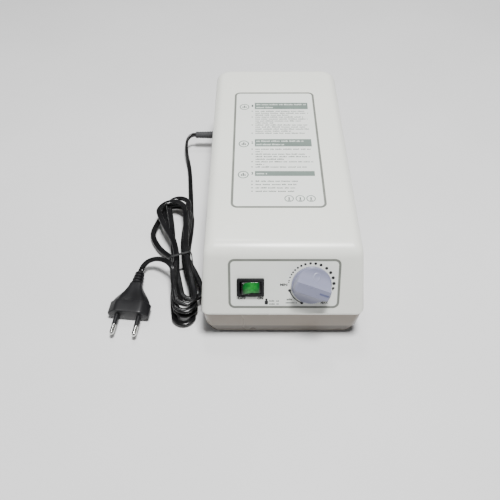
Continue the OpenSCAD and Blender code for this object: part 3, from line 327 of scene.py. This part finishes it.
# Mains cord: its thickness, width and exit, and its route from the floor below the exit, in millimetres
CORD_T = 3.2
CORD_W = 5.2
PORT_X = -86
PORT_FROM_BACK = 28.2
PORT_Z = 17
CORD_ROUTE = [
    (-2.5, 0, 17), (-5.5, -1, 16.4), (-8, -3.5, 15.2), (-9.5, -7, 13.6), (-10, -11.5, 11.5),
    (-9.8, -16.5, 9.2), (-9, -22, 7), (-7.7, -28, 5.2), (-6.3, -34.5, 3.9), (-5, -41.5, 2.9),
    (-4, -49, 2.3), (-3.1, -57, 2.1), (-2.3, -65, 2), (-1.5, -73.4, 1.9), (-0.7, -81.4, 1.85),
    (0, -89.4, 1.8), (0.7, -97.3, 1.75)]
TAIL_ROUTE = [
    (-7.1, -189.4, 20.2), (-9.7, -185.3, 20.4), (-13.4, -181.8, 19.8), (-17.9, -178.6, 18.2),
    (-22.6, -176.2, 16), (-27.5, -175.1, 13.4), (-31.8, -175.5, 10.9), (-35.2, -178.1, 8.7)]
ROUTE_PARTS = 4
PLUG_NECK = (-37.6, -185.2, 6.85)
PLUG_TURN = math.radians(-5.5)
PLUG_LEAD = 3
exit_foot = mm((PORT_X, back_y / MM - PORT_FROM_BACK, 0))
plug_way = Vector((math.sin(PLUG_TURN), -math.cos(PLUG_TURN), 0))
plug_neck = exit_foot + mm(PLUG_NECK)

# Hank, in millimetres: loops wound upward in a loose bundle, drawn in at the waist by the tie
HANK_PLACE = (-3, -168, 0)
HANK_TILT = math.radians(8)
HANK_LIFT = 1.2
HANK_RISE = 3.95
RUN_STEPS = 6
END_STEPS = 6
HALF_LOOP = RUN_STEPS + END_STEPS
LOOP_STEPS = 2 * HALF_LOOP
HANK_LAST = 4 * LOOP_STEPS + HALF_LOOP + 1
FLOOR_GAP = 0.02
LOOSE_OUT = 15
hank_at = exit_foot + mm(HANK_PLACE)

# Half width, shift across and reach along of each loop's rounded ends, and both strands at its waist
HANK_START = (9.5, 3.5, 50)
LOW_ENDS = ((7.8, -1, 60.5), (7.8, 1.2, 55), (9, 7.5, 41), (7.8, 1, 56), (7.8, 2.2, 51.5))
TOP_ENDS = ((14.5, -3, 55), (11, -2, 58), (9.5, 2, 63), (12.5, -4.5, 52), (13, -2, 54))
WAISTS = ((6, 5.4), (3.2, 3.4), (5, 5.8), (3.6, 3.1), (6, 5.6))


def on_end(end, way, share):
    """Place on the half circle at one end of a loop, share of the way round it."""
    half, shift, reach = end
    a = way * math.pi * share if way < 0 else math.pi * (1 - share)
    return shift + half * math.cos(a), way * reach + half * math.sin(a)


def hank_local(step):
    """Place some steps into the hank: across, along and above its middle, in millimetres."""
    loop = min(len(WAISTS) - 1, step // LOOP_STEPS)
    k = step - loop * LOOP_STEPS
    before = TOP_ENDS[loop - 1] if loop else HANK_START
    low, top = LOW_ENDS[loop], TOP_ENDS[loop]
    height = CORD_T / 2 + FLOOR_GAP + HANK_RISE * step / LOOP_STEPS
    if RUN_STEPS <= k <= HALF_LOOP:
        return Vector((*on_end(low, -1, (k - RUN_STEPS) / END_STEPS), height))
    if k >= HALF_LOOP + RUN_STEPS:
        return Vector((*on_end(top, 1, (k - HALF_LOOP - RUN_STEPS) / END_STEPS), height))
    out = 0
    if k < RUN_STEPS:
        t = k / RUN_STEPS
        begin, finish = (before[1] + before[0], before[2]), (low[1] + low[0], -low[2])
        waist = WAISTS[loop][0]
    else:
        t = (k - HALF_LOOP) / RUN_STEPS
        begin, finish = (low[1] - low[0], -low[2]), (top[1] - top[0], top[2])
        waist = -WAISTS[loop][1]
        # The first loop's second strand bows out beyond its middle
        if loop == 0 and t > 0.5:
            out = LOOSE_OUT * (1 - math.cos(4 * math.pi * t)) / 2
    draw_in = (1 - math.cos(2 * math.pi * t)) / 2
    across = (begin[0] + (finish[0] - begin[0]) * t) * (1 - draw_in) + waist * draw_in - out
    return Vector((across, begin[1] + (finish[1] - begin[1]) * t, height + HANK_LIFT * draw_in))


def hank_world(p):
    """A place in the hank, turned to lie beside the pump."""
    c, s = math.cos(HANK_TILT), math.sin(HANK_TILT)
    return hank_at + mm((p.x * c - p.y * s, p.x * s + p.y * c, p.z))


hank_in, hank_out = hank_local(0), hank_local(HANK_LAST)
lead = Vector((0, CORD_W, 0))
route = [exit_foot + mm((0, 0, PORT_Z))]
route += [exit_foot + mm(p) for p in CORD_ROUTE]
route += [hank_world(hank_in + 2 * lead), hank_world(hank_in + lead)]
flat_from = len(route) - 1
route += [hank_world(hank_local(step)) for step in range(HANK_LAST + 1)]
route += [hank_world(hank_out + lead), hank_world(hank_out + 2 * lead)]
route += [exit_foot + mm(p) for p in TAIL_ROUTE]
route += [plug_neck - PLUG_LEAD * MM * plug_way, plug_neck]


def smooth_line(points, parts):
    """The same route with parts steps between neighbouring points, and where each falls."""
    line, place = [], []
    for i in range(len(points) - 1):
        a, b = points[max(i - 1, 0)], points[i]
        c, d = points[i + 1], points[min(i + 2, len(points) - 1)]
        for k in range(parts):
            t = k / parts
            line.append(0.5 * (2 * b + (c - a) * t + (2 * a - 5 * b + 4 * c - d) * t * t
                               + (3 * b - a - 3 * c + d) * t ** 3))
            place.append(i + t)
    return line + [points[-1]], place + [len(points) - 1]


# Twin section: share of its thickness drawn, the groove's share and width in millimetres, and the shoulders
SECTION_FIT = 0.98
GROOVE_DEEP = 0.22
GROOVE_WIDE = 0.55
SHOULDER = 0.10


def twin_section(count=20):
    """Flat twin cord: two round conductors with a shallow groove between them."""
    points = []
    for k in range(count):
        a = 2 * math.pi * (k + 0.5) / count
        x = CORD_T / 2 * math.cos(a)
        y = CORD_W / 2 * math.sin(a)
        groove = GROOVE_DEEP * math.exp(-(y / GROOVE_WIDE) ** 2)
        fuller = 1 + SHOULDER * abs(math.sin(2 * a))
        points.append((x * fuller * (1 - groove) * SECTION_FIT, y * min(fuller, 1.0)))
    return points


def tube_rings(line, section, turns):
    """One section along a line, turned about it by turns radians."""
    rings = []
    last = len(line) - 1
    for i, p in enumerate(line):
        ahead = (line[min(i + 1, last)] - line[max(i - 1, 0)]).normalized()
        side = ahead.cross(Vector((0, 0, 1))).normalized()
        up = side.cross(ahead)
        c, s = math.cos(turns[i]), math.sin(turns[i])
        rings.append([p + (side * (x * c - y * s) + up * (x * s + y * c)) * MM for x, y in section])
    return rings


line, place = smooth_line(route, ROUTE_PARTS)
lying = [math.radians(90) * min(1.0, q / flat_from) for q in place]
cord = solid("mains_cord", tube_rings(line, twin_section(), lying), "housing", "cord_black")
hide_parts("power_cord", "cord_hank", "cord_tail")
for name in ("upper_housing", "lower_housing"):
    keep_edges(name)

# Front panel, in millimetres: label and print levels, knob and switch places, and the knob's turn
LABEL_FACE = 0.1
FRONT_PRINT = (LABEL_FACE - 0.02, LABEL_FACE + 0.03)
KNOB_PLACE = (21.5, 25.2)
KNOB_LIFT = 0.9
KNOB_TURN = math.radians(-20)
SCALE_R = 17.3
SWITCH_PLACE = (-25, 22.8)


def on_panel(x, t, n):
    """Place on the sloping panel: across, up the slope and out of it, in millimetres."""
    c, s = math.cos(PANEL_ANGLE), math.sin(PANEL_ANGLE)
    return Vector((x * MM, front_y + (t * c - n * s) * MM, RIM_Z + (t * s + n * c) * MM))


def on_top(x, y, z):
    """Place over the top label: across, back from the front edge and up, in millimetres."""
    return Vector((x * MM, front_y + y * MM, z * MM))


def at_knob(x, y, n):
    """Place on the knob: along its pointer, across it and out of the panel, in millimetres."""
    c, s = math.cos(KNOB_TURN), math.sin(KNOB_TURN)
    return on_panel(KNOB_PLACE[0] + x * c - y * s, KNOB_PLACE[1] + x * s + y * c, KNOB_LIFT + n)


def on_scale(degrees):
    """Place on the printed scale round the knob."""
    a = math.radians(degrees)
    return KNOB_PLACE[0] + SCALE_R * math.cos(a), KNOB_PLACE[1] + SCALE_R * math.sin(a)


# Flat outlines, counter-clockwise
def box_outline(x0, y0, x1, y1):
    return [(x0, y0), (x1, y0), (x1, y1), (x0, y1)]


def disc_outline(x, y, r, count=24):
    turns = [2 * math.pi * k / count for k in range(count)]
    return [(x + r * math.cos(a), y + r * math.sin(a)) for a in turns]


def round_outline(x, y, w, h, r, count=8):
    """Rectangle about (x, y) with rounded corners."""
    points = []
    for quarter, (sx, sy) in enumerate(((1, 1), (-1, 1), (-1, -1), (1, -1))):
        corner_x, corner_y = x + sx * (w / 2 - r), y + sy * (h / 2 - r)
        for k in range(count + 1):
            a = math.pi / 2 * (quarter + k / count)
            points.append((corner_x + r * math.cos(a), corner_y + r * math.sin(a)))
    return points


def arc_outline(x, y, r, wide, start, end, count=24):
    """Curved stroke from start to end degrees."""
    turns = [math.radians(start + (end - start) * k / count) for k in range(count + 1)]
    outer = [(x + (r + wide / 2) * math.cos(a), y + (r + wide / 2) * math.sin(a)) for a in turns]
    inner = [(x + (r - wide / 2) * math.cos(a), y + (r - wide / 2) * math.sin(a)) for a in turns]
    return outer + inner[::-1]


# Printed rows of blocks, in millimetres, with the blocks' heights as shares of the row's
WORD_LENGTHS = (3.0, 8.5)
WORD_GAP = 1.1
BLOCK_WIDTHS = (0.55, 1.05)
BLOCK_HEIGHTS = (0.72, 0.72, 0.8, 1.0)
BLOCK_GAP = 0.28
BLOCK_LEAST = 0.4

# Lettering's added weight, as a share of its size, and how near corners join in a print, in metres
LETTER_WEIGHT = 0.045
JOIN_WITHIN = 0.0000004


class Print:
    """Thin closed prisms gathered into one piece, from levels[0] to levels[1] out of a label."""

    def __init__(self, at, levels):
        self.at = at
        self.levels = levels
        self.made = bmesh.new()

    def loop(self, outline, level):
        """Corners of an outline at one level."""
        return [self.made.verts.new(self.at(x, y, level)) for x, y in outline]

    def wall(self, low, high):
        """Faces between two matching loops."""
        for i in range(len(low)):
            self.made.faces.new((low[i - 1], low[i], high[i], high[i - 1]))

    def fill(self, outline):
        """Prism over one outline."""
        low, high = (self.loop(outline, level) for level in self.levels)
        self.made.faces.new(low[::-1])
        self.made.faces.new(high)
        self.wall(low, high)

    def ring(self, outer, inner):
        """Prism between two matching outlines."""
        low_out, high_out = (self.loop(outer, level) for level in self.levels)
        low_in, high_in = (self.loop(inner, level) for level in self.levels)
        self.wall(low_out, high_out)
        self.wall(high_in, low_in)
        self.wall(high_out, high_in)
        self.wall(low_in, low_out)

    def disc_ring(self, x, y, outer, inner, count):
        self.ring(disc_outline(x, y, outer, count), disc_outline(x, y, inner, count))

    def frame(self, x, y, w, h, r, wide):
        """Rounded frame with its line's middle on the given rectangle."""
        outer = round_outline(x, y, w + wide, h + wide, r + wide / 2)
        self.ring(outer, round_outline(x, y, w - wide, h - wide, r - wide / 2))

    def words(self, text, x0, x1, y0, y1):
        """Generic lettering from the built-in font, fitted between four sides."""
        curve = bpy.data.curves.new("letters", "FONT")
        curve.body = text
        curve.extrude = 0.5
        curve.resolution_u = 3
        curve.offset = LETTER_WEIGHT
        shown = bpy.data.objects.new("letters", curve)
        bpy.context.collection.objects.link(shown)
        bpy.context.view_layer.update()
        drawn = shown.evaluated_get(bpy.context.evaluated_depsgraph_get())
        mesh = bpy.data.meshes.new_from_object(drawn)
        across = [v.co.x for v in mesh.vertices]
        up = [v.co.y for v in mesh.vertices]
        places = []
        for v in mesh.vertices:
            x = x0 + (x1 - x0) * (v.co.x - min(across)) / (max(across) - min(across))
            y = y0 + (y1 - y0) * (v.co.y - min(up)) / (max(up) - min(up))
            level = self.levels[1] if v.co.z > 0 else self.levels[0]
            places.append(self.made.verts.new(self.at(x, y, level)))
        for face in mesh.polygons:
            self.made.faces.new([places[i] for i in face.vertices])
        bpy.data.objects.remove(shown)
        bpy.data.curves.remove(curve)
        bpy.data.meshes.remove(mesh)

    def row(self, x0, x1, y, tall, draws):
        """Small seeded blocks in word groups, about a line at height y."""
        x = x0
        low = y - tall / 2
        while x < x1:
            word_end = min(x1, x + draws.uniform(*WORD_LENGTHS))
            while x < word_end - BLOCK_LEAST:
                wide = draws.uniform(*BLOCK_WIDTHS)
                high = tall * draws.choice(BLOCK_HEIGHTS)
                self.fill(box_outline(x, low, min(x + wide, word_end), low + high))
                x += wide + BLOCK_GAP
            x = word_end + WORD_GAP

    def piece(self, name, material, body="housing", slot="label"):
        """Close the gathered prisms into a piece."""
        bmesh.ops.remove_doubles(self.made, verts=self.made.verts, dist=JOIN_WITHIN)
        bmesh.ops.recalc_face_normals(self.made, faces=self.made.faces)
        mesh = bpy.data.meshes.new(name)
        self.made.to_mesh(mesh)
        self.made.free()
        return add_piece(name, mesh, material, body)


def ink(name, color, vary, patch):
    """Dull printing ink with a faint grain."""
    return surface(name, color, (0.4, 0.5), vary, patch, 1200, 0.00001, 0.1).material


INK_BLACK = ink("print_black", (0.012, 0.012, 0.013), 0.2, 200)
INK_GREY = ink("print_grey", (0.075, 0.095, 0.088), 0.1, 120)
INK_LINE = ink("print_line", (0.165, 0.175, 0.155), 0.08, 80)
INK_BAR = ink("print_bar", (0.155, 0.195, 0.175), 0.06, 60)
INK_PALE = ink("print_pale", (0.62, 0.66, 0.62), 0.03, 90)

# Front label: frame, rows as two ends and a height, words as two ends and two heights, dots in degrees
FRONT_FRAME = (0.8, 25.4, 84.0, 39.4, 4.0, 1.9)
FRONT_ROWS = ((-10.4, -3.1, 11.0), (-10.4, -3.1, 8.4), (2.3, 11.2, 9.5))
FRONT_ROW_TALL = 1.3
FRONT_WORDS = (
    ("OFF", -35.0, -28.6, 12.2, 14.4), ("ON", -19.7, -15.2, 12.2, 14.4),
    ("MIN", -2.4, 3.2, 23.7, 25.8), ("MAX", 29.3, 35.0, 8.5, 10.6))
DOTS = (175, 170, 161, 152, 145, 137, 128, 118, 107, 94, 81, 67, 50, 34, 18, 2)
DOT_LEAST = 0.5
DOT_GROWTH = 0.85
DROP_AT = -12
DROP = ((-0.35, -1.9), (1.1, 0.4), (0.5, 1.2), (-0.7, 1.1), (-1.1, 0.3))
ARC = (200, 245)
ARC_WIDE = 0.9
ARC_ENDS = (198, 247)
ARC_END_R = 1.2
PAWN_X = -12.7
PAWN_FOOT = (9.6, 2.6, 3.6, 0.9)
PAWN_HEAD = (12.1, 0.9)
FIGURES_ROW = (3.0, 8.6, 12.3, 1.6)
PRINT_SEED = 4

draws = random.Random(PRINT_SEED)
lines = Print(on_panel, FRONT_PRINT)
for x0, x1, y in FRONT_ROWS:
    lines.row(x0, x1, y, FRONT_ROW_TALL, draws)
lines.piece("front_label_lines", INK_GREY)

border = Print(on_panel, FRONT_PRINT)
border.frame(*FRONT_FRAME)
border.piece("front_label_border", INK_LINE)

marks = Print(on_panel, FRONT_PRINT)
for word in FRONT_WORDS:
    marks.words(*word)
marks.fill(round_outline(PAWN_X, *PAWN_FOOT))
marks.fill(disc_outline(PAWN_X, *PAWN_HEAD))
marks.row(*FIGURES_ROW, draws)
for i, degrees in enumerate(DOTS):
    marks.fill(disc_outline(*on_scale(degrees), DOT_LEAST + DOT_GROWTH * i / (len(DOTS) - 1)))
drop_x, drop_y = on_scale(DROP_AT)
marks.fill([(drop_x + x, drop_y + y) for x, y in DROP])
marks.fill(arc_outline(*KNOB_PLACE, SCALE_R, ARC_WIDE, *ARC))
for degrees in ARC_ENDS:
    marks.fill(disc_outline(*on_scale(degrees), ARC_END_R))
marks.piece("front_label_marks", INK_BLACK)

# Top label: levels of its film and prints, then shapes and places across and back, in millimetres
TOP_LEVELS = (81.8, 82.04)
TOP_PRINT = (82.02, 82.07)
TOP_LIGHT = (82.05, 82.09)
TOP_FILM = (-2.5, 147.7, 76, 159, 4.8)
TOP_FRAME = (-2.6, 147.7, 75.0, 158.6, 4.4, 2.0)
BAR_ENDS = (-21.6, 28.9)
HEADING_TALL = 2.0
HEADING_IN = 0.8
RING_X = -31.4
RING_R = (4.6, 3.7)
NUMBER_ENDS = (-24.6, -23.0)
NUMBER_LOW = 1.4
NUMBER_HIGH = 1.9
ROW_X = -21
ROW_TALL = 1.5
BULLET_X = -24
BULLET_R = 0.65
SIGNS = (6, 15, 23.7)
SIGN_Y = 78
SIGN_R = (3.8, 3.05)

# Headed bars: middle, height, headings as two ends and a shift, and the ring's middle
BLOCKS = (
    (205.3, 10.4, ((-21, 27.2, 2.3), (-21, -3, -2.4)), 203.8),
    (149.4, 10.3, ((-21, 22, 2.3), (-21, 4.6, -2.4)), 147.9),
    (108.3, 6.2, ((-21, -11, 0),), 106.9))

# Rows below each bar: the first, their pitch, their right ends, and which have a bullet
ROWS = (
    (196.8, 3.05, (26, 28.5, 10, 24, 27.5, 21, -4, 27, 25, 28, 12, 24), (0, 3, 7, 11)),
    (140.5, 3.4, (28.8, -14.9, 22, 26, 4, 28.6, -13.7, 23), (0, 2, 5, 7)),
    (98.8, 4.07, (14.3, 12.7, 11.4, 10.4), (0, 1, 2, 3)))

sheet = Print(on_top, TOP_LEVELS)
sheet.fill(round_outline(*TOP_FILM))
film = sheet.piece("top_label_film", finishes["label"].material)
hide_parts("top_label")

border = Print(on_top, TOP_PRINT)
border.frame(*TOP_FRAME)
border.piece("top_label_border", INK_LINE)

small = Print(on_top, TOP_PRINT)
bars = Print(on_top, TOP_PRINT)
pale = Print(on_top, TOP_LIGHT)
for number, (middle, tall, headings, ring_y) in enumerate(BLOCKS, 1):
    bars.fill(box_outline(BAR_ENDS[0], middle - tall / 2, BAR_ENDS[1], middle + tall / 2))
    for x0, x1, shift in headings:
        pale.row(x0 + HEADING_IN, x1, middle + shift, HEADING_TALL, draws)
    bars.disc_ring(RING_X, ring_y, *RING_R, 40)
    small.words(str(number), *NUMBER_ENDS, middle - NUMBER_LOW, middle + NUMBER_HIGH)
    small.fill(round_outline(RING_X, ring_y + 0.2, 1.1, 4.0, 0.5))
    for side in (-1.5, 1.5):
        small.fill(round_outline(RING_X + side, ring_y - 0.5, 0.9, 2.3, 0.4))
for first_row, pitch, ends, bullets in ROWS:
    for i, end in enumerate(ends):
        y = first_row - pitch * i
        small.row(ROW_X, end, y, ROW_TALL, draws)
        if i in bullets:
            small.fill(disc_outline(BULLET_X, y, BULLET_R, 16))
for x in SIGNS:
    bars.disc_ring(x, SIGN_Y, *SIGN_R, 36)
    small.fill(round_outline(x, SIGN_Y + 0.1, 1.0, 3.2, 0.45))
    small.fill(round_outline(x, SIGN_Y - 2.1, 2.4, 0.7, 0.3))
small.piece("top_label_print", INK_GREY)
bars.piece("top_label_bars", INK_BAR)
pale.piece("top_label_headings", INK_PALE)


def skin(name, rings, slot, body="housing", sharp=38):
    """Closed solid through matching rings, with edges sharper than sharp degrees kept."""
    piece = solid(name, rings, body, slot)
    made = bmesh.new()
    made.from_mesh(piece.data)
    bmesh.ops.recalc_face_normals(made, faces=made.faces)
    made.to_mesh(piece.data)
    made.free()
    piece.data.set_sharp_from_angle(angle=math.radians(sharp))
    return piece


# Rocker: a black drum with a lit lens let into its two shallow faces, in millimetres
ROCKER_THROW = math.radians(20)
FACE_RISE = math.tan(ROCKER_THROW / 2)
FACE_LOW = 1.9
FACE_ROUND = 0.35
END_ROUND = ((0, 0.5), (0.12, 0.24), (0.35, 0.06), (0.7, 0))


def rocker_place(x, y, t):
    """Place on the rocker in its own section, turned to ON."""
    c, s = math.cos(ROCKER_THROW / 2), math.sin(ROCKER_THROW / 2)
    return on_panel(SWITCH_PLACE[0] + x * c + y * s, SWITCH_PLACE[1] + t, LABEL_FACE - x * s + y * c)


def rocker_section(half, lift, inset, deep, count=14):
    """Outline of the rocker's section: two shallow faces above a drum."""
    points = []
    reach = half - inset
    for k in range(count + 1):
        x = reach * (1 - 2 * k / count)
        round_down = FACE_ROUND * (abs(x) / reach) ** 12
        points.append((x, FACE_LOW + lift - inset + abs(x) * FACE_RISE - round_down))
    points += [(-reach - 0.05, 1.5), (-reach, 0.2), (-reach, -deep + inset)]
    return points + [(reach, -deep + inset), (reach, 0.2), (reach + 0.05, 1.5)]


def rocker_rings(half, lift, deep, length):
    """The section along the rocker's length, drawn in towards both ends."""
    steps = [(t - length / 2, inset) for t, inset in END_ROUND]
    steps += [(length / 2 - t, inset) for t, inset in END_ROUND[::-1]]
    return [[rocker_place(x, y, along) for x, y in rocker_section(half, lift, inset, deep)]
            for along, inset in steps]


drum = skin("rocker_drum", rocker_rings(half=7.35, lift=-0.35, deep=3, length=10.0), "switch_black",
            "rocker")
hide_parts("switch_rocker")
skin("rocker_lens", rocker_rings(half=6.5, lift=0, deep=2, length=9.2), "lit_green", "rocker")

# Knob details, in millimetres: painted pointer, grip ribs and a round mark in the scoop
KNOB_R = 15.2
KNOB_H = 13
GRIP_W = 7.5
POINTER = (8.9, 0.1, 7.2, 1.5, 0.4)
POINTER_LEVELS = (KNOB_H - 0.55, KNOB_H + 0.03)
SCOOP_R = 12
SCOOP_LOW = 1.6
SCOOP_END = 15.7
RIBS = 60
RIB_LEVELS = (0.5, 2.25)
RIB_HALF = 0.022
RIB_TIP = 0.6
RIB_IN = -0.4
RIB_OUT = 0.22
MARK_PLACE = (0.5, 9.0)
MARK_STEPS = (
    (0.05, 0.02), (1.3, 0.03), (1.9, 0.12), (2.5, 0.2), (2.9, 0.14), (3.1, -0.1), (2.9, -0.4),
    (0.05, -0.4))


def scoop_height(y):
    """Height of the scooped face, at a distance y from the grip's middle."""
    out = min(abs(y), SCOOP_END) - GRIP_W / 2 - SCOOP_R
    return KNOB_H + SCOOP_LOW - math.sqrt(max(0, SCOOP_R ** 2 - out * out))


def rib_outline(a):
    """Grip rib on the skirt at angle a, narrower at its tip."""
    corners = ((RIB_IN, -1), (RIB_OUT, -RIB_TIP), (RIB_OUT, RIB_TIP), (RIB_IN, 1))
    return [((KNOB_R + out) * math.cos(a + side * RIB_HALF), (KNOB_R + out) * math.sin(a + side * RIB_HALF))
            for out, side in corners]


pointer_paint = surface("pointer_paint", (0.10, 0.11, 0.20), (0.3, 0.4), 0.08, 200)
pointer = Print(at_knob, POINTER_LEVELS)
pointer.fill(round_outline(*POINTER))
pointer.piece("knob_pointer", pointer_paint.material, "knob", "knob")

ribs = Print(at_knob, RIB_LEVELS)
for i in range(RIBS):
    ribs.fill(rib_outline(2 * math.pi * i / RIBS))
ribs.piece("knob_ribs", finishes["knob"].material, "knob", "knob")

mark_rings = []
for r, rise in MARK_STEPS:
    mark_rings.append([at_knob(x, y, scoop_height(y) + rise) for x, y in disc_outline(*MARK_PLACE, r, 40)])
skin("knob_mark", mark_rings, "knob", "knob")

# Plug: ribbed neck, flared body and a face block that stands a little proud, in millimetres
NECK_L = 13.5
TAPER_L = 20
TAPER_STEPS = 12
FLARE_EVEN = 0.45
FACE_L = 12
PROUD = 1.2
NECK_RIBS = 4
NECK_ROUND = 5
BODY_ROUND = 30

# Ribs of the neck: radius at foot and top, growth from rib to rib, and steps as place and share of rise
NECK_FOOT = 3.4
NECK_TOP = 4.2
NECK_GROWTH = 0.35
NECK_STEPS = ((0, 0), (0.65, 0), (0.85, 0.75), (1.1, 1), (2.1, 1), (2.35, 0.75), (2.55, 0))

# Flat sides of the neck and of the body: the way each one faces and how far out it lies
NECK_SIDES = ((1, 0, 5.4), (-1, 0, 5.4), (0, 1, 4.7), (0, -1, 4.7))
BODY_SIDES = (
    (1, 0, 17.65), (-1, 0, 17.65), (0, 1, 6.85), (0, -1, 6.85),
    (0.627, 0.779, 12.232), (-0.627, 0.779, 12.232), (0.627, -0.779, 12.232), (-0.627, -0.779, 12.232))

# Along the face block: distance from its start, and how far it is drawn in
FACE_STEPS = (
    (0.05, 1.5), (0.25, 1.5), (0.3, 0.3), (0.5, 0.08), (0.9, 0), (FACE_L - 1.4, 0),
    (FACE_L - 0.6, 0.15), (FACE_L - 0.15, 0.5), (FACE_L, 1.0))


def reach_at(sides, angle, power):
    """Distance from the middle to an outline with these sides, crisper with power."""
    x, y = math.cos(angle), math.sin(angle)
    total = sum(max(0, nx * x + ny * y) ** power / d ** power for nx, ny, d in sides)
    return total ** (-1 / power)


def at_plug(x, y, along):
    """Place on the plug: across, up and along it from its neck, in millimetres."""
    across = Vector((-plug_way.y, plug_way.x, 0))
    return plug_neck + (across * x + plug_way * along) * MM + Vector((0, 0, y * MM))


def plug_ring(along, reach, count=96):
    """Ring round the plug, at a distance from its middle that reach gives for each angle."""
    points = []
    for k in range(count):
        a = 2 * math.pi * (k + 0.5) / count
        points.append(at_plug(reach(a) * math.cos(a), reach(a) * math.sin(a), along))
    return points


def flare(a, share):
    """Distance from the middle as the neck's outline turns into the body's."""
    body = reach_at(BODY_SIDES, a, BODY_ROUND) - PROUD
    return (1 - share) * reach_at(NECK_SIDES, a, NECK_ROUND) + share * body


plug_rings = []
for i in range(NECK_RIBS):
    for step, rise in NECK_STEPS:
        r = NECK_FOOT + (NECK_TOP - NECK_FOOT) * rise + NECK_GROWTH * i
        plug_rings.append(plug_ring(i * NECK_L / NECK_RIBS + step, lambda a, r=r: r))
for i in range(TAPER_STEPS + 1):
    t = i / TAPER_STEPS
    share = FLARE_EVEN * t + (1 - FLARE_EVEN) * t * t * (3 - 2 * t)
    plug_rings.append(plug_ring(NECK_L + TAPER_L * t, lambda a, share=share: flare(a, share)))
for step, inset in FACE_STEPS:
    plug_rings.append(plug_ring(NECK_L + TAPER_L + step,
                                lambda a, inset=inset: reach_at(BODY_SIDES, a, BODY_ROUND) - inset))
plug = skin("plug_moulding", plug_rings, "plug_black", sharp=28)
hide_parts("plug_body")

# Strain relief: ribbed sleeve, as distance out along its axis and radius, in millimetres
RELIEF_L = 23.6
RELIEF_R = 4.1
RELIEF_TAPER = 0.6
RELIEF_RIBS = 7
RELIEF_PITCH = 2.7
RELIEF_FIRST = 3.2
RELIEF_GROOVE = 0.5
relief_profile = [
    (-5.6, 5.4), (-5.4, 5.6), (-3.5, 5.6), (-3.3, 5.4), (-3.3, 4.0), (0.1, 4.0), (0.1, 4.8),
    (0.3, 5.0), (1.4, 5.0), (1.7, 4.7), (1.8, 4.1)]
for i in range(RELIEF_RIBS):
    start = RELIEF_FIRST + RELIEF_PITCH * i
    r = RELIEF_R - RELIEF_TAPER * start / RELIEF_L
    foot = r - RELIEF_GROOVE
    relief_profile += [(start, r), (start + 0.2, foot), (start + 0.8, foot), (start + 1.0, r - 0.03)]
relief_profile += [(RELIEF_L - 0.5, 3.5), (RELIEF_L - 0.1, 3.3), (RELIEF_L, 3.0)]
relief_rings = []
for out, r in relief_profile:
    here = exit_foot + mm((RELIEF_L - out, 0, PORT_Z))
    relief_rings.append([here + mm((0, y, z)) for y, z in disc_outline(0, 0, r, 40)])
relief = skin("strain_relief_sleeve", relief_rings, "black_rubber", sharp=40)
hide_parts("strain_relief")

# Tie: a dull black band round the waist of the hank
tie_film = surface("tie_film", (0.008, 0.008, 0.009), (0.5, 0.65), 0.2, 90, 900, 0.00004, 0.4)
nodes["cord_tie"].data.materials.clear()
nodes["cord_tie"].data.materials.append(tie_film.material)

# Radii of the carried-over CAD pieces, in metres
RADII = {
    "switch_body": 0.0003, "pressure_knob": 0.0005, "rubber_feet": 0.0004, "bed_hook_left": 0.0005,
    "bed_hook_right": 0.0005, "outlet_nozzle_left": 0.0002, "outlet_nozzle_right": 0.0002,
    "plug_sleeves": 0.0001, "plug_pins": 0.0002, "housing_screws": 0.0001, "cord_tie": 0.0002,
    "front_label": 0.00004}
for name, width in RADII.items():
    soften(name, width)

# Pale floor, soft surroundings and three lamps: place, size in metres and power in watts
FLOOR_SIZE = 8
FLOOR_LOW = (0.70, 0.70, 0.70)
FLOOR_HIGH = (0.73, 0.73, 0.73)
FLOOR_ROUGH = 0.6
AROUND = 0.16
LAMP_AIM = Vector((0, 0, 0.04))
LAMPS = {
    "key": ((0.10, -0.20, 1.42), 0.30, 40),
    "back": ((-0.10, 0.56, 1.30), 0.14, 3.2),
    "fill": ((-0.9, -0.3, 0.6), 0.6, 1.2)}

pale_floor = Finish("pale_floor")
pale_floor.feed("Base Color", pale_floor.ramp(pale_floor.noise(6, 3), FLOOR_LOW, FLOOR_HIGH))
pale_floor.set("Roughness", FLOOR_ROUGH)
bpy.ops.mesh.primitive_plane_add(size=FLOOR_SIZE, location=(0, 0, 0))
floor = bpy.context.object
floor.name = "studio_floor"
floor.data.materials.append(pale_floor.material)

world = bpy.data.worlds.new("studio")
bpy.context.scene.world = world
world.use_nodes = True
world.node_tree.nodes["Background"].inputs["Color"].default_value = (1, 1, 1, 1)
world.node_tree.nodes["Background"].inputs["Strength"].default_value = AROUND

for name, (spot, size, power) in LAMPS.items():
    lamp = bpy.data.objects.new(name, bpy.data.lights.new(name, "AREA"))
    bpy.context.collection.objects.link(lamp)
    lamp.data.size = size
    lamp.data.energy = power
    lamp.location = spot
    lamp.rotation_euler = (LAMP_AIM - Vector(spot)).to_track_quat("-Z", "Y").to_euler()
